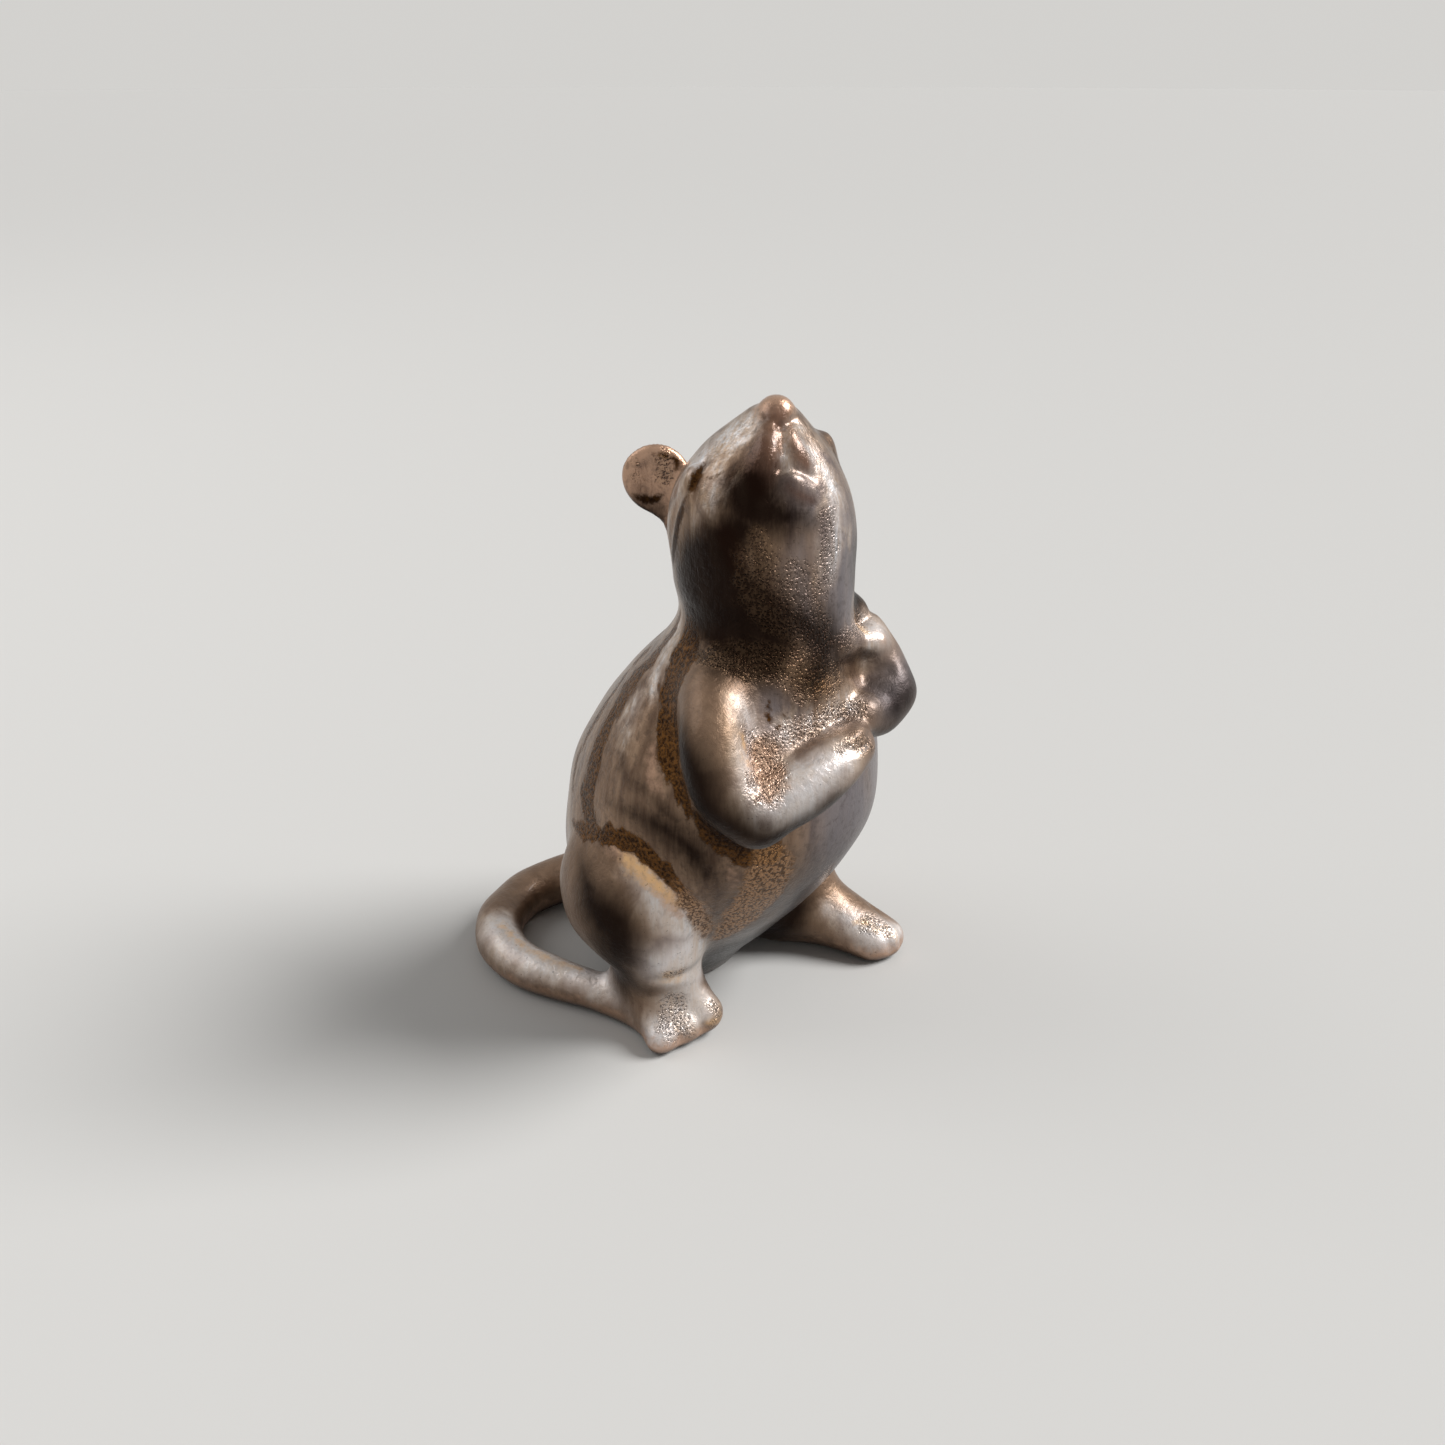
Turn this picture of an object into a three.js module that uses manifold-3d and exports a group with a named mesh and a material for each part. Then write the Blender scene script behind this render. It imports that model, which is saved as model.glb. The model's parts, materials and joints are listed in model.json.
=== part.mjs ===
// Stoneware rat sitting up on its haunches, nose in the air, forepaws at its chest.
// It is built as the potter builds it: a hollow torso and a hollow head, with solid ears, eyes,
// nose, forelegs, haunches, hind feet and tail luted on with slip.
// Millimetres, +Z up. The rat faces -Y, its left side is +X, and the table is z = 0.
// The origin is in the middle of the flat seat under the torso.
// Places on the torso and the head are given by a height, an angle from the front (positive towards
// the rat's left) and how far out from the clay's surface they lie.

import * as THREE from "three";
import { mergeVertices } from "three/addons/utils/BufferGeometryUtils.js";
import Module from "manifold-3d";

const wasm = await Module();
wasm.setup();

// Driving sizes
const WALL = 4; // thickness of the hollow torso and head
const SLIP = 0.3; // thickness of the slip in every luted joint
const VENT_RADIUS = 2.5; // hole under the seat that lets steam out in the kiln
const VENT_BACK = 5; // how far behind the middle of the seat the vent lies
const BODY_HEIGHT = 64; // from the table to the neck
const BODY_HALF_WIDTH = 22.8; // at the belly
const BODY_HALF_DEPTH = 23.8;
const HEAD_LENGTH = 31; // from the neck to the tip of the snout
const HEAD_RADIUS = 13.2; // at the cheeks
const FORELEG_RADIUS = 5.5; // at the upper arm
const HAUNCH_RADIUS = 14; // along the thigh
const FOOT_HALF_WIDTH = 6.2; // at the heel
const ANKLE_HEIGHT = 6.2; // the middle of the heel
const RIGHT_FOOT_REACH = 9; // from the heel to the middle of the longest toe's end
const LEFT_FOOT_REACH = 17;
const RIGHT_FOOT_OUT = 3.6; // how far the heel stands out from the torso
const LEFT_FOOT_OUT = 2.5;
const TAIL_RADIUS = 4.4; // at the root

// Torso: elliptical sections from the table up to the neck, each shifted back from the body's axis.
// Each row holds shares of the body's height, half depth, half width and half depth.
const TORSO = [
  [0, 0.336, 0.461, 0.399],
  [0.078, 0.286, 0.658, 0.58],
  [0.188, 0.176, 0.811, 0.756],
  [0.312, 0.067, 0.921, 0.895],
  [0.5, -0.076, 1, 1],
  [0.672, -0.176, 0.947, 0.95],
  [0.844, -0.311, 0.754, 0.756],
  [1, -0.475, 0.509, 0.504],
].map(([up, back, wide, deep]) => ({
  height: up * BODY_HEIGHT,
  shift: back * BODY_HALF_DEPTH,
  halfWidth: wide * BODY_HALF_WIDTH,
  halfDepth: deep * BODY_HALF_DEPTH,
}));
const SEAT_BACK = TORSO[0].shift;
const NECK = TORSO.at(-1);

// Head: sections from the neck to the snout, shifted back from the middle of the neck.
// Each row holds a share of the head's length, then shares of its radius.
const HEAD_TURN = THREE.MathUtils.degToRad(-27); // it looks to the rat's right
const HEAD = [
  [0.226, 0, 0.97, 0.985],
  [0.435, 0, 1, 1],
  [0.629, -0.045, 0.924, 0.939],
  [0.787, -0.129, 0.712, 0.72],
  [0.916, -0.197, 0.439, 0.447],
  [1, -0.227, 0.189, 0.189],
].map(([up, back, wide, deep]) => ({
  height: NECK.height + up * HEAD_LENGTH,
  shift: back * HEAD_RADIUS,
  halfWidth: wide * HEAD_RADIUS,
  halfDepth: deep * HEAD_RADIUS,
}));
HEAD.unshift({ ...NECK, height: NECK.height + SLIP, shift: 0 });
const HOLLOW_HEAD_SECTIONS = 4; // the hollow ends at this section, below the solid snout

// Pressed lump of clay at a place on a form: half axes across, outwards and up
function lumpOn({ base, length, radius }, [up, angle, out], halfAxes) {
  return {
    height: base + up * length,
    angle,
    out: out * radius,
    halfAxes: halfAxes.map((share) => share * radius),
  };
}
const onHead = { base: NECK.height, length: HEAD_LENGTH, radius: HEAD_RADIUS };
const onTorso = { base: 0, length: BODY_HEIGHT, radius: HAUNCH_RADIUS };

// Lumps on the head: share of its length, degrees from the front and share of its radius outwards
const LIP = lumpOn(onHead, [0.852, 21, -0.098], [0.212, 0.197, 0.288]);
const CHIN = lumpOn(onHead, [0.729, 0, -0.076], [0.197, 0.167, 0.167]);
const EYE_SHAPE = [0.152, 0.098, 0.182];
const RIGHT_EYE = lumpOn(onHead, [0.665, -88, 0], EYE_SHAPE);
const LEFT_EYE = lumpOn(onHead, [0.735, 92, 0], EYE_SHAPE);
const EAR = lumpOn(onHead, [0.581, 138, 0.379], [0.348, 0.144, 0.364]);
const EAR_ROOT = lumpOn(onHead, [0.5, 130, 0.091], [0.197, 0.273, 0.258]);
const EAR_FACING = THREE.MathUtils.degToRad(20); // the dish of the ear looks this far outwards
const EAR_DISH_RADIUS = 0.28 * HEAD_RADIUS;
const EAR_DISH_DEPTH = 0.129 * HEAD_RADIUS;
const NOSE_HALF_AXES = [0.174, 0.174, 0.152].map((share) => share * HEAD_RADIUS);
const NOSE_SINK = 0.023 * HEAD_RADIUS; // the middle of the nose lies this far below the snout's tip

// Forelegs: coils through stations from shoulder to paw. Each row holds a share of the body's
// height, degrees from the front, and shares of the foreleg's radius outwards and in girth.
const foreleg = (rows) =>
  rows.map(([up, angle, out, girth]) => ({
    height: up * BODY_HEIGHT,
    angle,
    out: out * FORELEG_RADIUS,
    radius: girth * FORELEG_RADIUS,
  }));
const RIGHT_FORELEG = foreleg([
  [0.953, -66, -0.18, 0.98],
  [0.859, -57, 0.33, 1],
  [0.758, -48, 0.47, 0.945],
  [0.68, -33, 0.47, 0.873],
  [0.723, -19, 0.436, 0.764],
  [0.781, -6, 0.345, 0.709],
  [0.809, 2, 0.255, 0.636],
]);
const LEFT_FORELEG = foreleg([
  [0.953, 60, -0.18, 0.873],
  [0.914, 52, 0.218, 0.873],
  [0.852, 44, 0.436, 0.8],
  [0.812, 33, 0.473, 0.745],
  [0.828, 19, 0.291, 0.655],
]);

// Haunches: pressed pads, tipped down towards the knee, each drawn down into a shin. Each row of a shin
// holds a share of the body's height, degrees from the front, and shares of the haunch's radius
// outwards and in girth.
const RIGHT_HAUNCH = lumpOn(onTorso, [0.35, -83, -0.264], [0.843, 0.643, 0.829]);
const LEFT_HAUNCH = lumpOn(onTorso, [0.305, 102, -0.271], [0.929, 0.629, 0.843]);
const HAUNCH_TIP = THREE.MathUtils.degToRad(28.6);
const shin = (rows) =>
  rows.map(([up, angle, out, girth]) => ({
    height: up * BODY_HEIGHT,
    angle,
    out: out * HAUNCH_RADIUS,
    radius: girth * HAUNCH_RADIUS,
  }));
const RIGHT_SHIN = shin([
  [0.344, -75, -0.171, 0.543],
  [0.234, -61, -0.029, 0.471],
  [0.172, -56, 0.064, 0.4],
]);
const LEFT_SHIN = shin([
  [0.266, 84, -0.171, 0.529],
  [0.188, 70, -0.014, 0.457],
  [0.148, 61, 0.064, 0.393],
]);

// Hind feet: each has a heel beside the torso and three toes that grow forward out of it. Each row of a
// toe holds shares of the foot's half width across, of its reach forward, and of its half width in
// height and girth.
const HEEL_HALF_AXES = [0.903, 1.065, 1.065].map((share) => share * FOOT_HALF_WIDTH);
const HEEL_GIRTH = 0.742 * FOOT_HALF_WIDTH; // of the toes inside the heel
const footToes = (reach, toes) =>
  toes.map((rows) =>
    rows.map(([across, forward, up, girth]) => ({
      at: new THREE.Vector3(across * FOOT_HALF_WIDTH, -forward * reach, up * FOOT_HALF_WIDTH),
      radius: girth * FOOT_HALF_WIDTH,
    })),
  );
const RIGHT_FOOT = {
  height: ANKLE_HEIGHT,
  angle: -55,
  out: RIGHT_FOOT_OUT,
  toes: footToes(RIGHT_FOOT_REACH, [
    [[0.194, 0.578, 0.806, 0.677], [0.419, 1, 0.548, 0.516]],
    [[-0.161, 0.578, 0.742, 0.645], [-0.226, 0.956, 0.419, 0.452]],
    [[-0.452, 0.467, 0.548, 0.532], [-0.839, 0.911, 0.339, 0.387]],
  ]),
};
const LEFT_FOOT = {
  height: ANKLE_HEIGHT,
  angle: 59,
  out: LEFT_FOOT_OUT,
  toes: footToes(LEFT_FOOT_REACH, [
    [[0.484, 0.424, 0.774, 0.742], [0.71, 0.941, 0.403, 0.419]],
    [[0.645, 0.435, 0.806, 0.742], [1.129, 1, 0.452, 0.435]],
    [[0.806, 0.412, 0.742, 0.694], [1.468, 0.941, 0.419, 0.403]],
  ]),
};

// Tail: a tapered coil from the rump round the right side and into the right heel. Each row holds
// shares of the body's half width and half depth, then of the tail's radius in height and girth.
const TAIL_ROOT = { height: 1.705 * TAIL_RADIUS, angle: 180, out: -1.59 * TAIL_RADIUS };
const TAIL = [
  [-0.088, 1.282, 1.136, 0.932],
  [-0.417, 1.454, 0.773, 0.841],
  [-0.811, 1.361, 0.727, 0.795],
  [-1.079, 1.05, 0.727, 0.795],
  [-1.105, 0.651, 0.682, 0.75],
  [-0.956, 0.294, 0.636, 0.682],
].map(([side, back, up, girth]) => ({
  at: new THREE.Vector3(side * BODY_HALF_WIDTH, back * BODY_HALF_DEPTH, up * TAIL_RADIUS),
  radius: girth * TAIL_RADIUS,
}));
const TAIL_TIP_RADIUS = 0.636 * TAIL_RADIUS;

// Glaze: a lustre that breaks to three colours
const LUSTRE = { roughness: 0.35, metalness: 0.7 };
const BRONZE = 0x8a7260;
const SILVER = 0x94897f;
const COPPER = 0x8c6048;

// Facets of the solids
const ROUND_SIDES = 30;
const LIMB_SIDES = 14;
const BALL_SIDES = 16;
const RINGS_PER_SECTION = 3;
const DOME_RINGS = 3;

const vec = (x, y, z) => new THREE.Vector3(x, y, z);

// Smooth section of a form at a share t of the way along it
function sectionAt(sections, t) {
  const spine = new THREE.SplineCurve(sections.map((s) => new THREE.Vector2(s.height, s.shift)));
  const girth = new THREE.SplineCurve(sections.map((s) => new THREE.Vector2(s.halfWidth, s.halfDepth)));
  const { x: height, y: shift } = spine.getPoint(t);
  const { x: halfWidth, y: halfDepth } = girth.getPoint(t);
  return { height, shift, halfWidth, halfDepth };
}

// Section of a form at a height, found by halving
function sectionAtHeight(sections, height) {
  let [low, high] = [0, 1];
  while (high - low > 1e-6) {
    const middle = (low + high) / 2;
    if (sectionAt(sections, middle).height < height) low = middle;
    else high = middle;
  }
  return sectionAt(sections, low);
}

// Point over the surface of a form, by height, angle from the front and distance out
function placeOn(sections, { height, angle, out }) {
  const { shift, halfWidth, halfDepth } = sectionAtHeight(sections, height);
  const turn = THREE.MathUtils.degToRad(angle);
  return vec(Math.sin(turn) * (halfWidth + out), shift - Math.cos(turn) * (halfDepth + out), height);
}

// Closed skin over a row of rings of points, all running the same way round
function skin(rings) {
  const sides = rings[0].length;
  const middle = (points) => points.reduce((sum, p) => sum.add(p), vec(0, 0, 0)).divideScalar(sides);
  const points = [...rings.flat(), middle(rings[0]), middle(rings.at(-1))];
  const firstMiddle = points.length - 2;
  const lastMiddle = points.length - 1;
  const lastRing = (rings.length - 1) * sides;
  const faces = [];
  for (let j = 0; j < sides; j++) {
    const next = (j + 1) % sides;
    faces.push(firstMiddle, next, j, lastMiddle, lastRing + j, lastRing + next);
    for (let row = 0; row < lastRing; row += sides) {
      faces.push(row + j, row + next, row + sides + next);
      faces.push(row + j, row + sides + next, row + sides + j);
    }
  }
  return new THREE.BufferGeometry().setFromPoints(points).setIndex(faces);
}

// Elliptical ring of points about a middle, with half axes u and v
function ring(middle, u, v, sides) {
  return Array.from({ length: sides }, (_, j) => {
    const angle = (2 * Math.PI * j) / sides;
    return middle.clone().addScaledVector(u, Math.cos(angle)).addScaledVector(v, Math.sin(angle));
  });
}

// Form along Z through its sections, grown outwards by a margin, with its ends pushed out
function form(sections, margin = 0, ends = margin, sides = ROUND_SIDES) {
  const steps = (sections.length - 1) * RINGS_PER_SECTION;
  const rings = Array.from({ length: steps + 1 }, (_, i) => {
    const { height, shift, halfWidth, halfDepth } = sectionAt(sections, i / steps);
    const push = { 0: -ends, [steps]: ends }[i] ?? 0;
    return ring(
      vec(0, shift, height + push),
      vec(halfWidth + margin, 0, 0),
      vec(0, halfDepth + margin, 0),
      sides,
    );
  });
  return skin(rings);
}

// Rolled coil of clay with round ends, grown outwards by a margin
function coil(stations, margin = 0) {
  const path = new THREE.CatmullRomCurve3(stations.map((s) => s.at));
  const girth = new THREE.SplineCurve(stations.map((s, i) => new THREE.Vector2(i, s.radius)));
  const steps = (stations.length - 1) * RINGS_PER_SECTION;
  const rings = [];
  let u = vec(0, 0, 1).cross(path.getTangent(0)).normalize();
  const addRing = (i, along, share) => {
    const radius = girth.getPoint(i / steps).y + margin;
    const tangent = path.getTangent(i / steps);
    u = u.clone().addScaledVector(tangent, -u.dot(tangent)).normalize();
    const v = tangent.clone().cross(u);
    const middle = path.getPoint(i / steps).addScaledVector(tangent, along * radius);
    const reach = radius * share;
    rings.push(ring(middle, u.clone().multiplyScalar(reach), v.multiplyScalar(reach), LIMB_SIDES));
  };
  const dome = (k) => (k / (DOME_RINGS + 0.5)) * (Math.PI / 2);
  for (let k = DOME_RINGS; k > 0; k--) addRing(0, -Math.sin(dome(k)), Math.cos(dome(k)));
  for (let i = 0; i <= steps; i++) addRing(i, 0, 1);
  for (let k = 1; k <= DOME_RINGS; k++) addRing(steps, Math.sin(dome(k)), Math.cos(dome(k)));
  return skin(rings);
}

// Ball of clay pressed to half axes across, outwards and up, grown by a margin
function ball(halfAxes, margin = 0) {
  const grown = halfAxes.map((reach) => reach + margin);
  return new THREE.SphereGeometry(1, BALL_SIDES, BALL_SIDES / 2).scale(...grown);
}

// Pressed ball set on a form, its outward axis pointing away from the form
function lump(sections, place, margin = 0) {
  const { x, y, z } = placeOn(sections, place);
  return ball(place.halfAxes, margin)
    .rotateY(place.tip ?? 0)
    .rotateZ(THREE.MathUtils.degToRad(place.angle))
    .translate(x, y, z);
}

// The same place on the other side of the rat
const mirrored = (place) => ({ ...place, angle: -place.angle });

// Geometry as a solid that can be joined and cut
function solid(geometry) {
  const bare = geometry.clone();
  bare.deleteAttribute("normal");
  bare.deleteAttribute("uv");
  const merged = mergeVertices(bare);
  const vertProperties = merged.attributes.position.array;
  const triVerts = new Uint32Array(merged.index.array);
  return new wasm.Manifold(new wasm.Mesh({ numProp: 3, vertProperties, triVerts }));
}

const join = (...geometries) => geometries.map(solid).reduce((whole, next) => whole.add(next));
const cut = (blank, ...tools) => tools.reduce((left, tool) => left.subtract(tool), blank);

// Block of everything below a height
const BLOCK = 300;
function below(height) {
  return solid(new THREE.BoxGeometry(BLOCK, BLOCK, BLOCK).translate(0, 0, height - BLOCK / 2));
}
const table = below(0);

// Named piece of glazed clay from a finished solid
function piece(name, made, color) {
  const { vertProperties, triVerts } = made.getMesh();
  const geometry = new THREE.BufferGeometry();
  geometry.setAttribute("position", new THREE.BufferAttribute(vertProperties, 3));
  geometry.setIndex(new THREE.BufferAttribute(triVerts, 1));
  geometry.computeVertexNormals();
  const mesh = new THREE.Mesh(geometry, new THREE.MeshStandardMaterial({ color, ...LUSTRE }));
  mesh.name = name;
  return mesh;
}

// Torso: a hollow form, open at the neck, with a vent under the seat
const torsoSeat = solid(form(TORSO, SLIP));
const torsoHollow = cut(solid(form(TORSO, -WALL, SLIP)), below(WALL));
const vent = solid(
  new THREE.CylinderGeometry(VENT_RADIUS, VENT_RADIUS, 3 * WALL, ROUND_SIDES)
    .rotateX(Math.PI / 2)
    .translate(0, SEAT_BACK + VENT_BACK, 0),
);
const torso = cut(solid(form(TORSO)), torsoHollow, vent);

// Head: a hollow form with lips and chin, open at the neck, in the head's own frame
const headBlank = (margin) =>
  join(
    form(HEAD, margin),
    lump(HEAD, LIP, margin),
    lump(HEAD, mirrored(LIP), margin),
    lump(HEAD, CHIN, margin),
  );
const headSeat = headBlank(SLIP);
const headHollow = solid(form(HEAD.slice(0, HOLLOW_HEAD_SECTIONS), -WALL, SLIP));
const head = cut(headBlank(0), headHollow);

const snout = HEAD.at(-1);
const nose = cut(solid(ball(NOSE_HALF_AXES).translate(0, snout.shift, snout.height - NOSE_SINK)), headSeat);
const eye = (place) => cut(solid(lump(HEAD, place)), headSeat);

// Ear: a slab and its root, with a dish pressed by a ball into the side that looks forward
function ear(side) {
  const place = { ...EAR, angle: side * EAR.angle };
  const { x, y, z } = placeOn(HEAD, place);
  const facing = side * EAR_FACING;
  const thumb = (EAR_DISH_RADIUS ** 2 + EAR_DISH_DEPTH ** 2) / (2 * EAR_DISH_DEPTH);
  const thumbOut = EAR.halfAxes[1] - EAR_DISH_DEPTH + thumb;
  const slab = ball(EAR.halfAxes).rotateZ(facing).translate(x, y, z);
  const dish = ball([thumb, thumb, thumb]).translate(0, -thumbOut, 0).rotateZ(facing).translate(x, y, z);
  const root = lump(HEAD, { ...EAR_ROOT, angle: side * EAR_ROOT.angle });
  return cut(join(slab, root), solid(dish), headSeat);
}

// Limbs luted to the torso
const headPlace = new THREE.Matrix4().makeRotationZ(HEAD_TURN).setPosition(0, NECK.shift, 0);
const headTool = headSeat.transform(headPlace.elements);
const along = (leg) => leg.map((station) => ({ at: placeOn(TORSO, station), radius: station.radius }));
const rightForeleg = cut(solid(coil(along(RIGHT_FORELEG))), torsoSeat, headTool);
const rightForelegSeat = solid(coil(along(RIGHT_FORELEG), SLIP));
const leftForeleg = cut(solid(coil(along(LEFT_FORELEG))), torsoSeat, headTool, rightForelegSeat);

const haunch = (place, leg, margin) =>
  join(
    lump(TORSO, { ...place, tip: Math.sign(place.angle) * HAUNCH_TIP }, margin),
    coil(along(leg), margin),
  );
const rightHaunch = cut(haunch(RIGHT_HAUNCH, RIGHT_SHIN, 0), torsoSeat, table);
const leftHaunch = cut(haunch(LEFT_HAUNCH, LEFT_SHIN, 0), torsoSeat, table);

function foot(place, margin) {
  const { x, y, z } = placeOn(TORSO, place);
  const root = { at: vec(0, 0, z), radius: HEEL_GIRTH };
  const heel = ball(HEEL_HALF_AXES, margin).translate(0, 0, z);
  const toes = place.toes.map((rows) => coil([root, ...rows], margin));
  return join(...[heel, ...toes].map((part) => part.translate(x, y, 0)));
}
const rightHaunchSeat = haunch(RIGHT_HAUNCH, RIGHT_SHIN, SLIP);
const leftHaunchSeat = haunch(LEFT_HAUNCH, LEFT_SHIN, SLIP);
const rightFoot = cut(foot(RIGHT_FOOT, 0), torsoSeat, rightHaunchSeat, table);
const leftFoot = cut(foot(LEFT_FOOT, 0), torsoSeat, leftHaunchSeat, table);

const rightHeel = placeOn(TORSO, RIGHT_FOOT);
const tailCoil = coil([
  { at: placeOn(TORSO, TAIL_ROOT), radius: TAIL_RADIUS },
  ...TAIL,
  { at: vec(rightHeel.x, rightHeel.y, TAIL_TIP_RADIUS), radius: TAIL_TIP_RADIUS },
]);
const rightFootSeat = foot(RIGHT_FOOT, SLIP);
const tail = cut(solid(tailCoil), torsoSeat, table, rightHaunchSeat, rightFootSeat);

// The figure, with the middle of its seat at the origin
const headGroup = new THREE.Group();
headGroup.position.set(0, NECK.shift, 0);
headGroup.rotation.z = HEAD_TURN;
headGroup.add(
  piece("head", head, BRONZE),
  piece("nose", nose, COPPER),
  piece("right_eye", eye(RIGHT_EYE), SILVER),
  piece("left_eye", eye(LEFT_EYE), SILVER),
  piece("right_ear", ear(-1), COPPER),
  piece("left_ear", ear(1), COPPER),
);
const figure = new THREE.Group();
figure.position.y = -SEAT_BACK;
figure.add(
  headGroup,
  piece("torso", torso, BRONZE),
  piece("right_foreleg", rightForeleg, SILVER),
  piece("left_foreleg", leftForeleg, SILVER),
  piece("right_haunch", rightHaunch, SILVER),
  piece("left_haunch", leftHaunch, SILVER),
  piece("right_hind_foot", rightFoot, SILVER),
  piece("left_hind_foot", leftFoot, SILVER),
  piece("tail", tail, SILVER),
);

export default figure;
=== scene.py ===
# %% [markdown]
# # A stoneware rat in a bronze lustre glaze
#
# The real figure is hand-built pottery: a hollow body and head, with ears, eyes, nose, legs, feet and
# a tail luted on, and one thick metallic glaze that softens every joint. In this lesson the clay is
# modelled as a distance field with numpy, cut into one mesh for each luted piece, and dressed
# in a procedural glaze that is built from shared node groups.

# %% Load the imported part
import json
import math

import bpy
import numpy as np
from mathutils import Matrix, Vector

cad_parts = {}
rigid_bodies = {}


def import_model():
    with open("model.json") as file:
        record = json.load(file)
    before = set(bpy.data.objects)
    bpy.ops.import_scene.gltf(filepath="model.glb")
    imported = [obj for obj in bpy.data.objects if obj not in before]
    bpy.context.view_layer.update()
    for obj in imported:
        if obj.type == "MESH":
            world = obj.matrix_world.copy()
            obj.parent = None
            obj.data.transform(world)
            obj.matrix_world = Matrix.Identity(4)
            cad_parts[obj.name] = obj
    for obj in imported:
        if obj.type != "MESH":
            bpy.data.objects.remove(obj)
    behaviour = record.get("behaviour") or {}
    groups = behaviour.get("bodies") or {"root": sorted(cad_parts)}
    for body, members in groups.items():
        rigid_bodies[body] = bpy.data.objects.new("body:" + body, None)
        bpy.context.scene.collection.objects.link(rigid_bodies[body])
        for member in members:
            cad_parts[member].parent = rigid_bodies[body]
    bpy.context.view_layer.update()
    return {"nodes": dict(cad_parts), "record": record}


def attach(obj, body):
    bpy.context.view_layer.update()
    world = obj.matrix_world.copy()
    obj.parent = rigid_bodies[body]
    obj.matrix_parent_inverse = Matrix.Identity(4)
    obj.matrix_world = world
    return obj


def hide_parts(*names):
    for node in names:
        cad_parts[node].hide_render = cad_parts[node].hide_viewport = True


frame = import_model()
print("packed nodes:", ", ".join(sorted(frame["nodes"])))

# %% [markdown]
# ## A block of space to model in
#
# A potter pushes soft clay together until the joints vanish. Mesh booleans leave hard seams instead,
# so here every lump is a distance field: at each point of a grid we keep how far the clay's surface
# is. Two fields melt into each other with a smooth minimum, a fingertip presses a groove by adding
# to the field, and at the end the zero level becomes the mesh. Sizes are in millimetres, with the
# ground at zero, the rat facing -Y and its left side at +X.

# %% The block
MM = 0.001
SEAT_BACK = 8.0
STEP = 0.4
FAR = 30.0
TINY = 1e-6
BLOCK_LOW = (-31.0, -35.0, -1.0)
BLOCK_HIGH = (31.8, 41.0, 98.6)
NODES = (
    "torso", "head", "nose", "right_eye", "left_eye", "right_ear", "left_ear", "right_foreleg",
    "left_foreleg", "right_haunch", "left_haunch", "right_hind_foot", "left_hind_foot", "tail",
)

axes = [np.arange(low, high, STEP, dtype=np.float32) for low, high in zip(BLOCK_LOW, BLOCK_HIGH)]
block = tuple(len(axis) for axis in axes)
surface = np.full(block, FAR, np.float32)
nearest = np.full(block, FAR, np.float32)
owner = np.zeros(block, np.uint8)
print("grid points in the block:", block, "step in mm:", STEP)


# %% Melting lumps together
def smooth_union(a, b, blend):
    """Lesser of two distance fields, filleted where they meet."""
    near = np.maximum(blend - np.abs(a - b), 0) / blend
    return np.minimum(a, b) - near * near * blend / 4


def smooth_cut(a, b, blend):
    """Field a with the clay of field b taken away, the new edge rounded."""
    return -smooth_union(-a, b, blend)


def window(low, high):
    """Part of the grid between two corners: its slices and its coordinates."""
    cut = tuple(
        slice(*np.searchsorted(axis, (lower, upper))) for axis, lower, upper in zip(axes, low, high)
    )
    x, y, z = (axis[part] for axis, part in zip(axes, cut))
    return cut, (x[:, None, None], y[None, :, None], z[None, None, :])


def lay(node, low, high, field, blend):
    """Presses a lump with its own field on to the clay and notes which points it owns."""
    reach = blend + 2 * STEP
    cut, grid = window(np.subtract(low, reach), np.add(high, reach))
    lump = field(*grid).astype(np.float32)
    surface[cut] = smooth_union(surface[cut], lump, blend)
    closer = lump < nearest[cut]
    nearest[cut] = np.minimum(nearest[cut], lump)
    owner[cut][closer] = NODES.index(node)


print("a blend of 2 mm fills a joint by", -float(smooth_union(0.0, 0.0, 2.0)), "mm")


# %% Smooth paths
def smooth_path(rows, per_span):
    """Points on a smooth curve through rows of numbers."""
    rows = np.array(rows, float)
    padded = np.vstack([2 * rows[0] - rows[1], rows, 2 * rows[-1] - rows[-2]])
    t = np.linspace(0, 1, per_span, endpoint=False)[:, None]
    spans = [
        0.5 * (2 * b + (c - a) * t + (2 * a - 5 * b + 4 * c - d) * t**2 + (3 * b - a - 3 * c + d) * t**3)
        for a, b, c, d in zip(padded, padded[1:], padded[2:], padded[3:])
    ]
    return np.vstack([*spans, rows[-1:]])


print("points on a path through two rows:", len(smooth_path(((0.0,), (1.0,)), per_span=8)))

# %% [markdown]
# ## Torso and head
#
# The body is one pear-shaped form, thrown back into a pointed snout. Each row is an elliptical
# section: its height, how far its middle lies to the left and back, and its half width and half
# depth. The head's rows are measured in a frame that is turned to the rat's right, because the real
# head looks that way.

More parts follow.
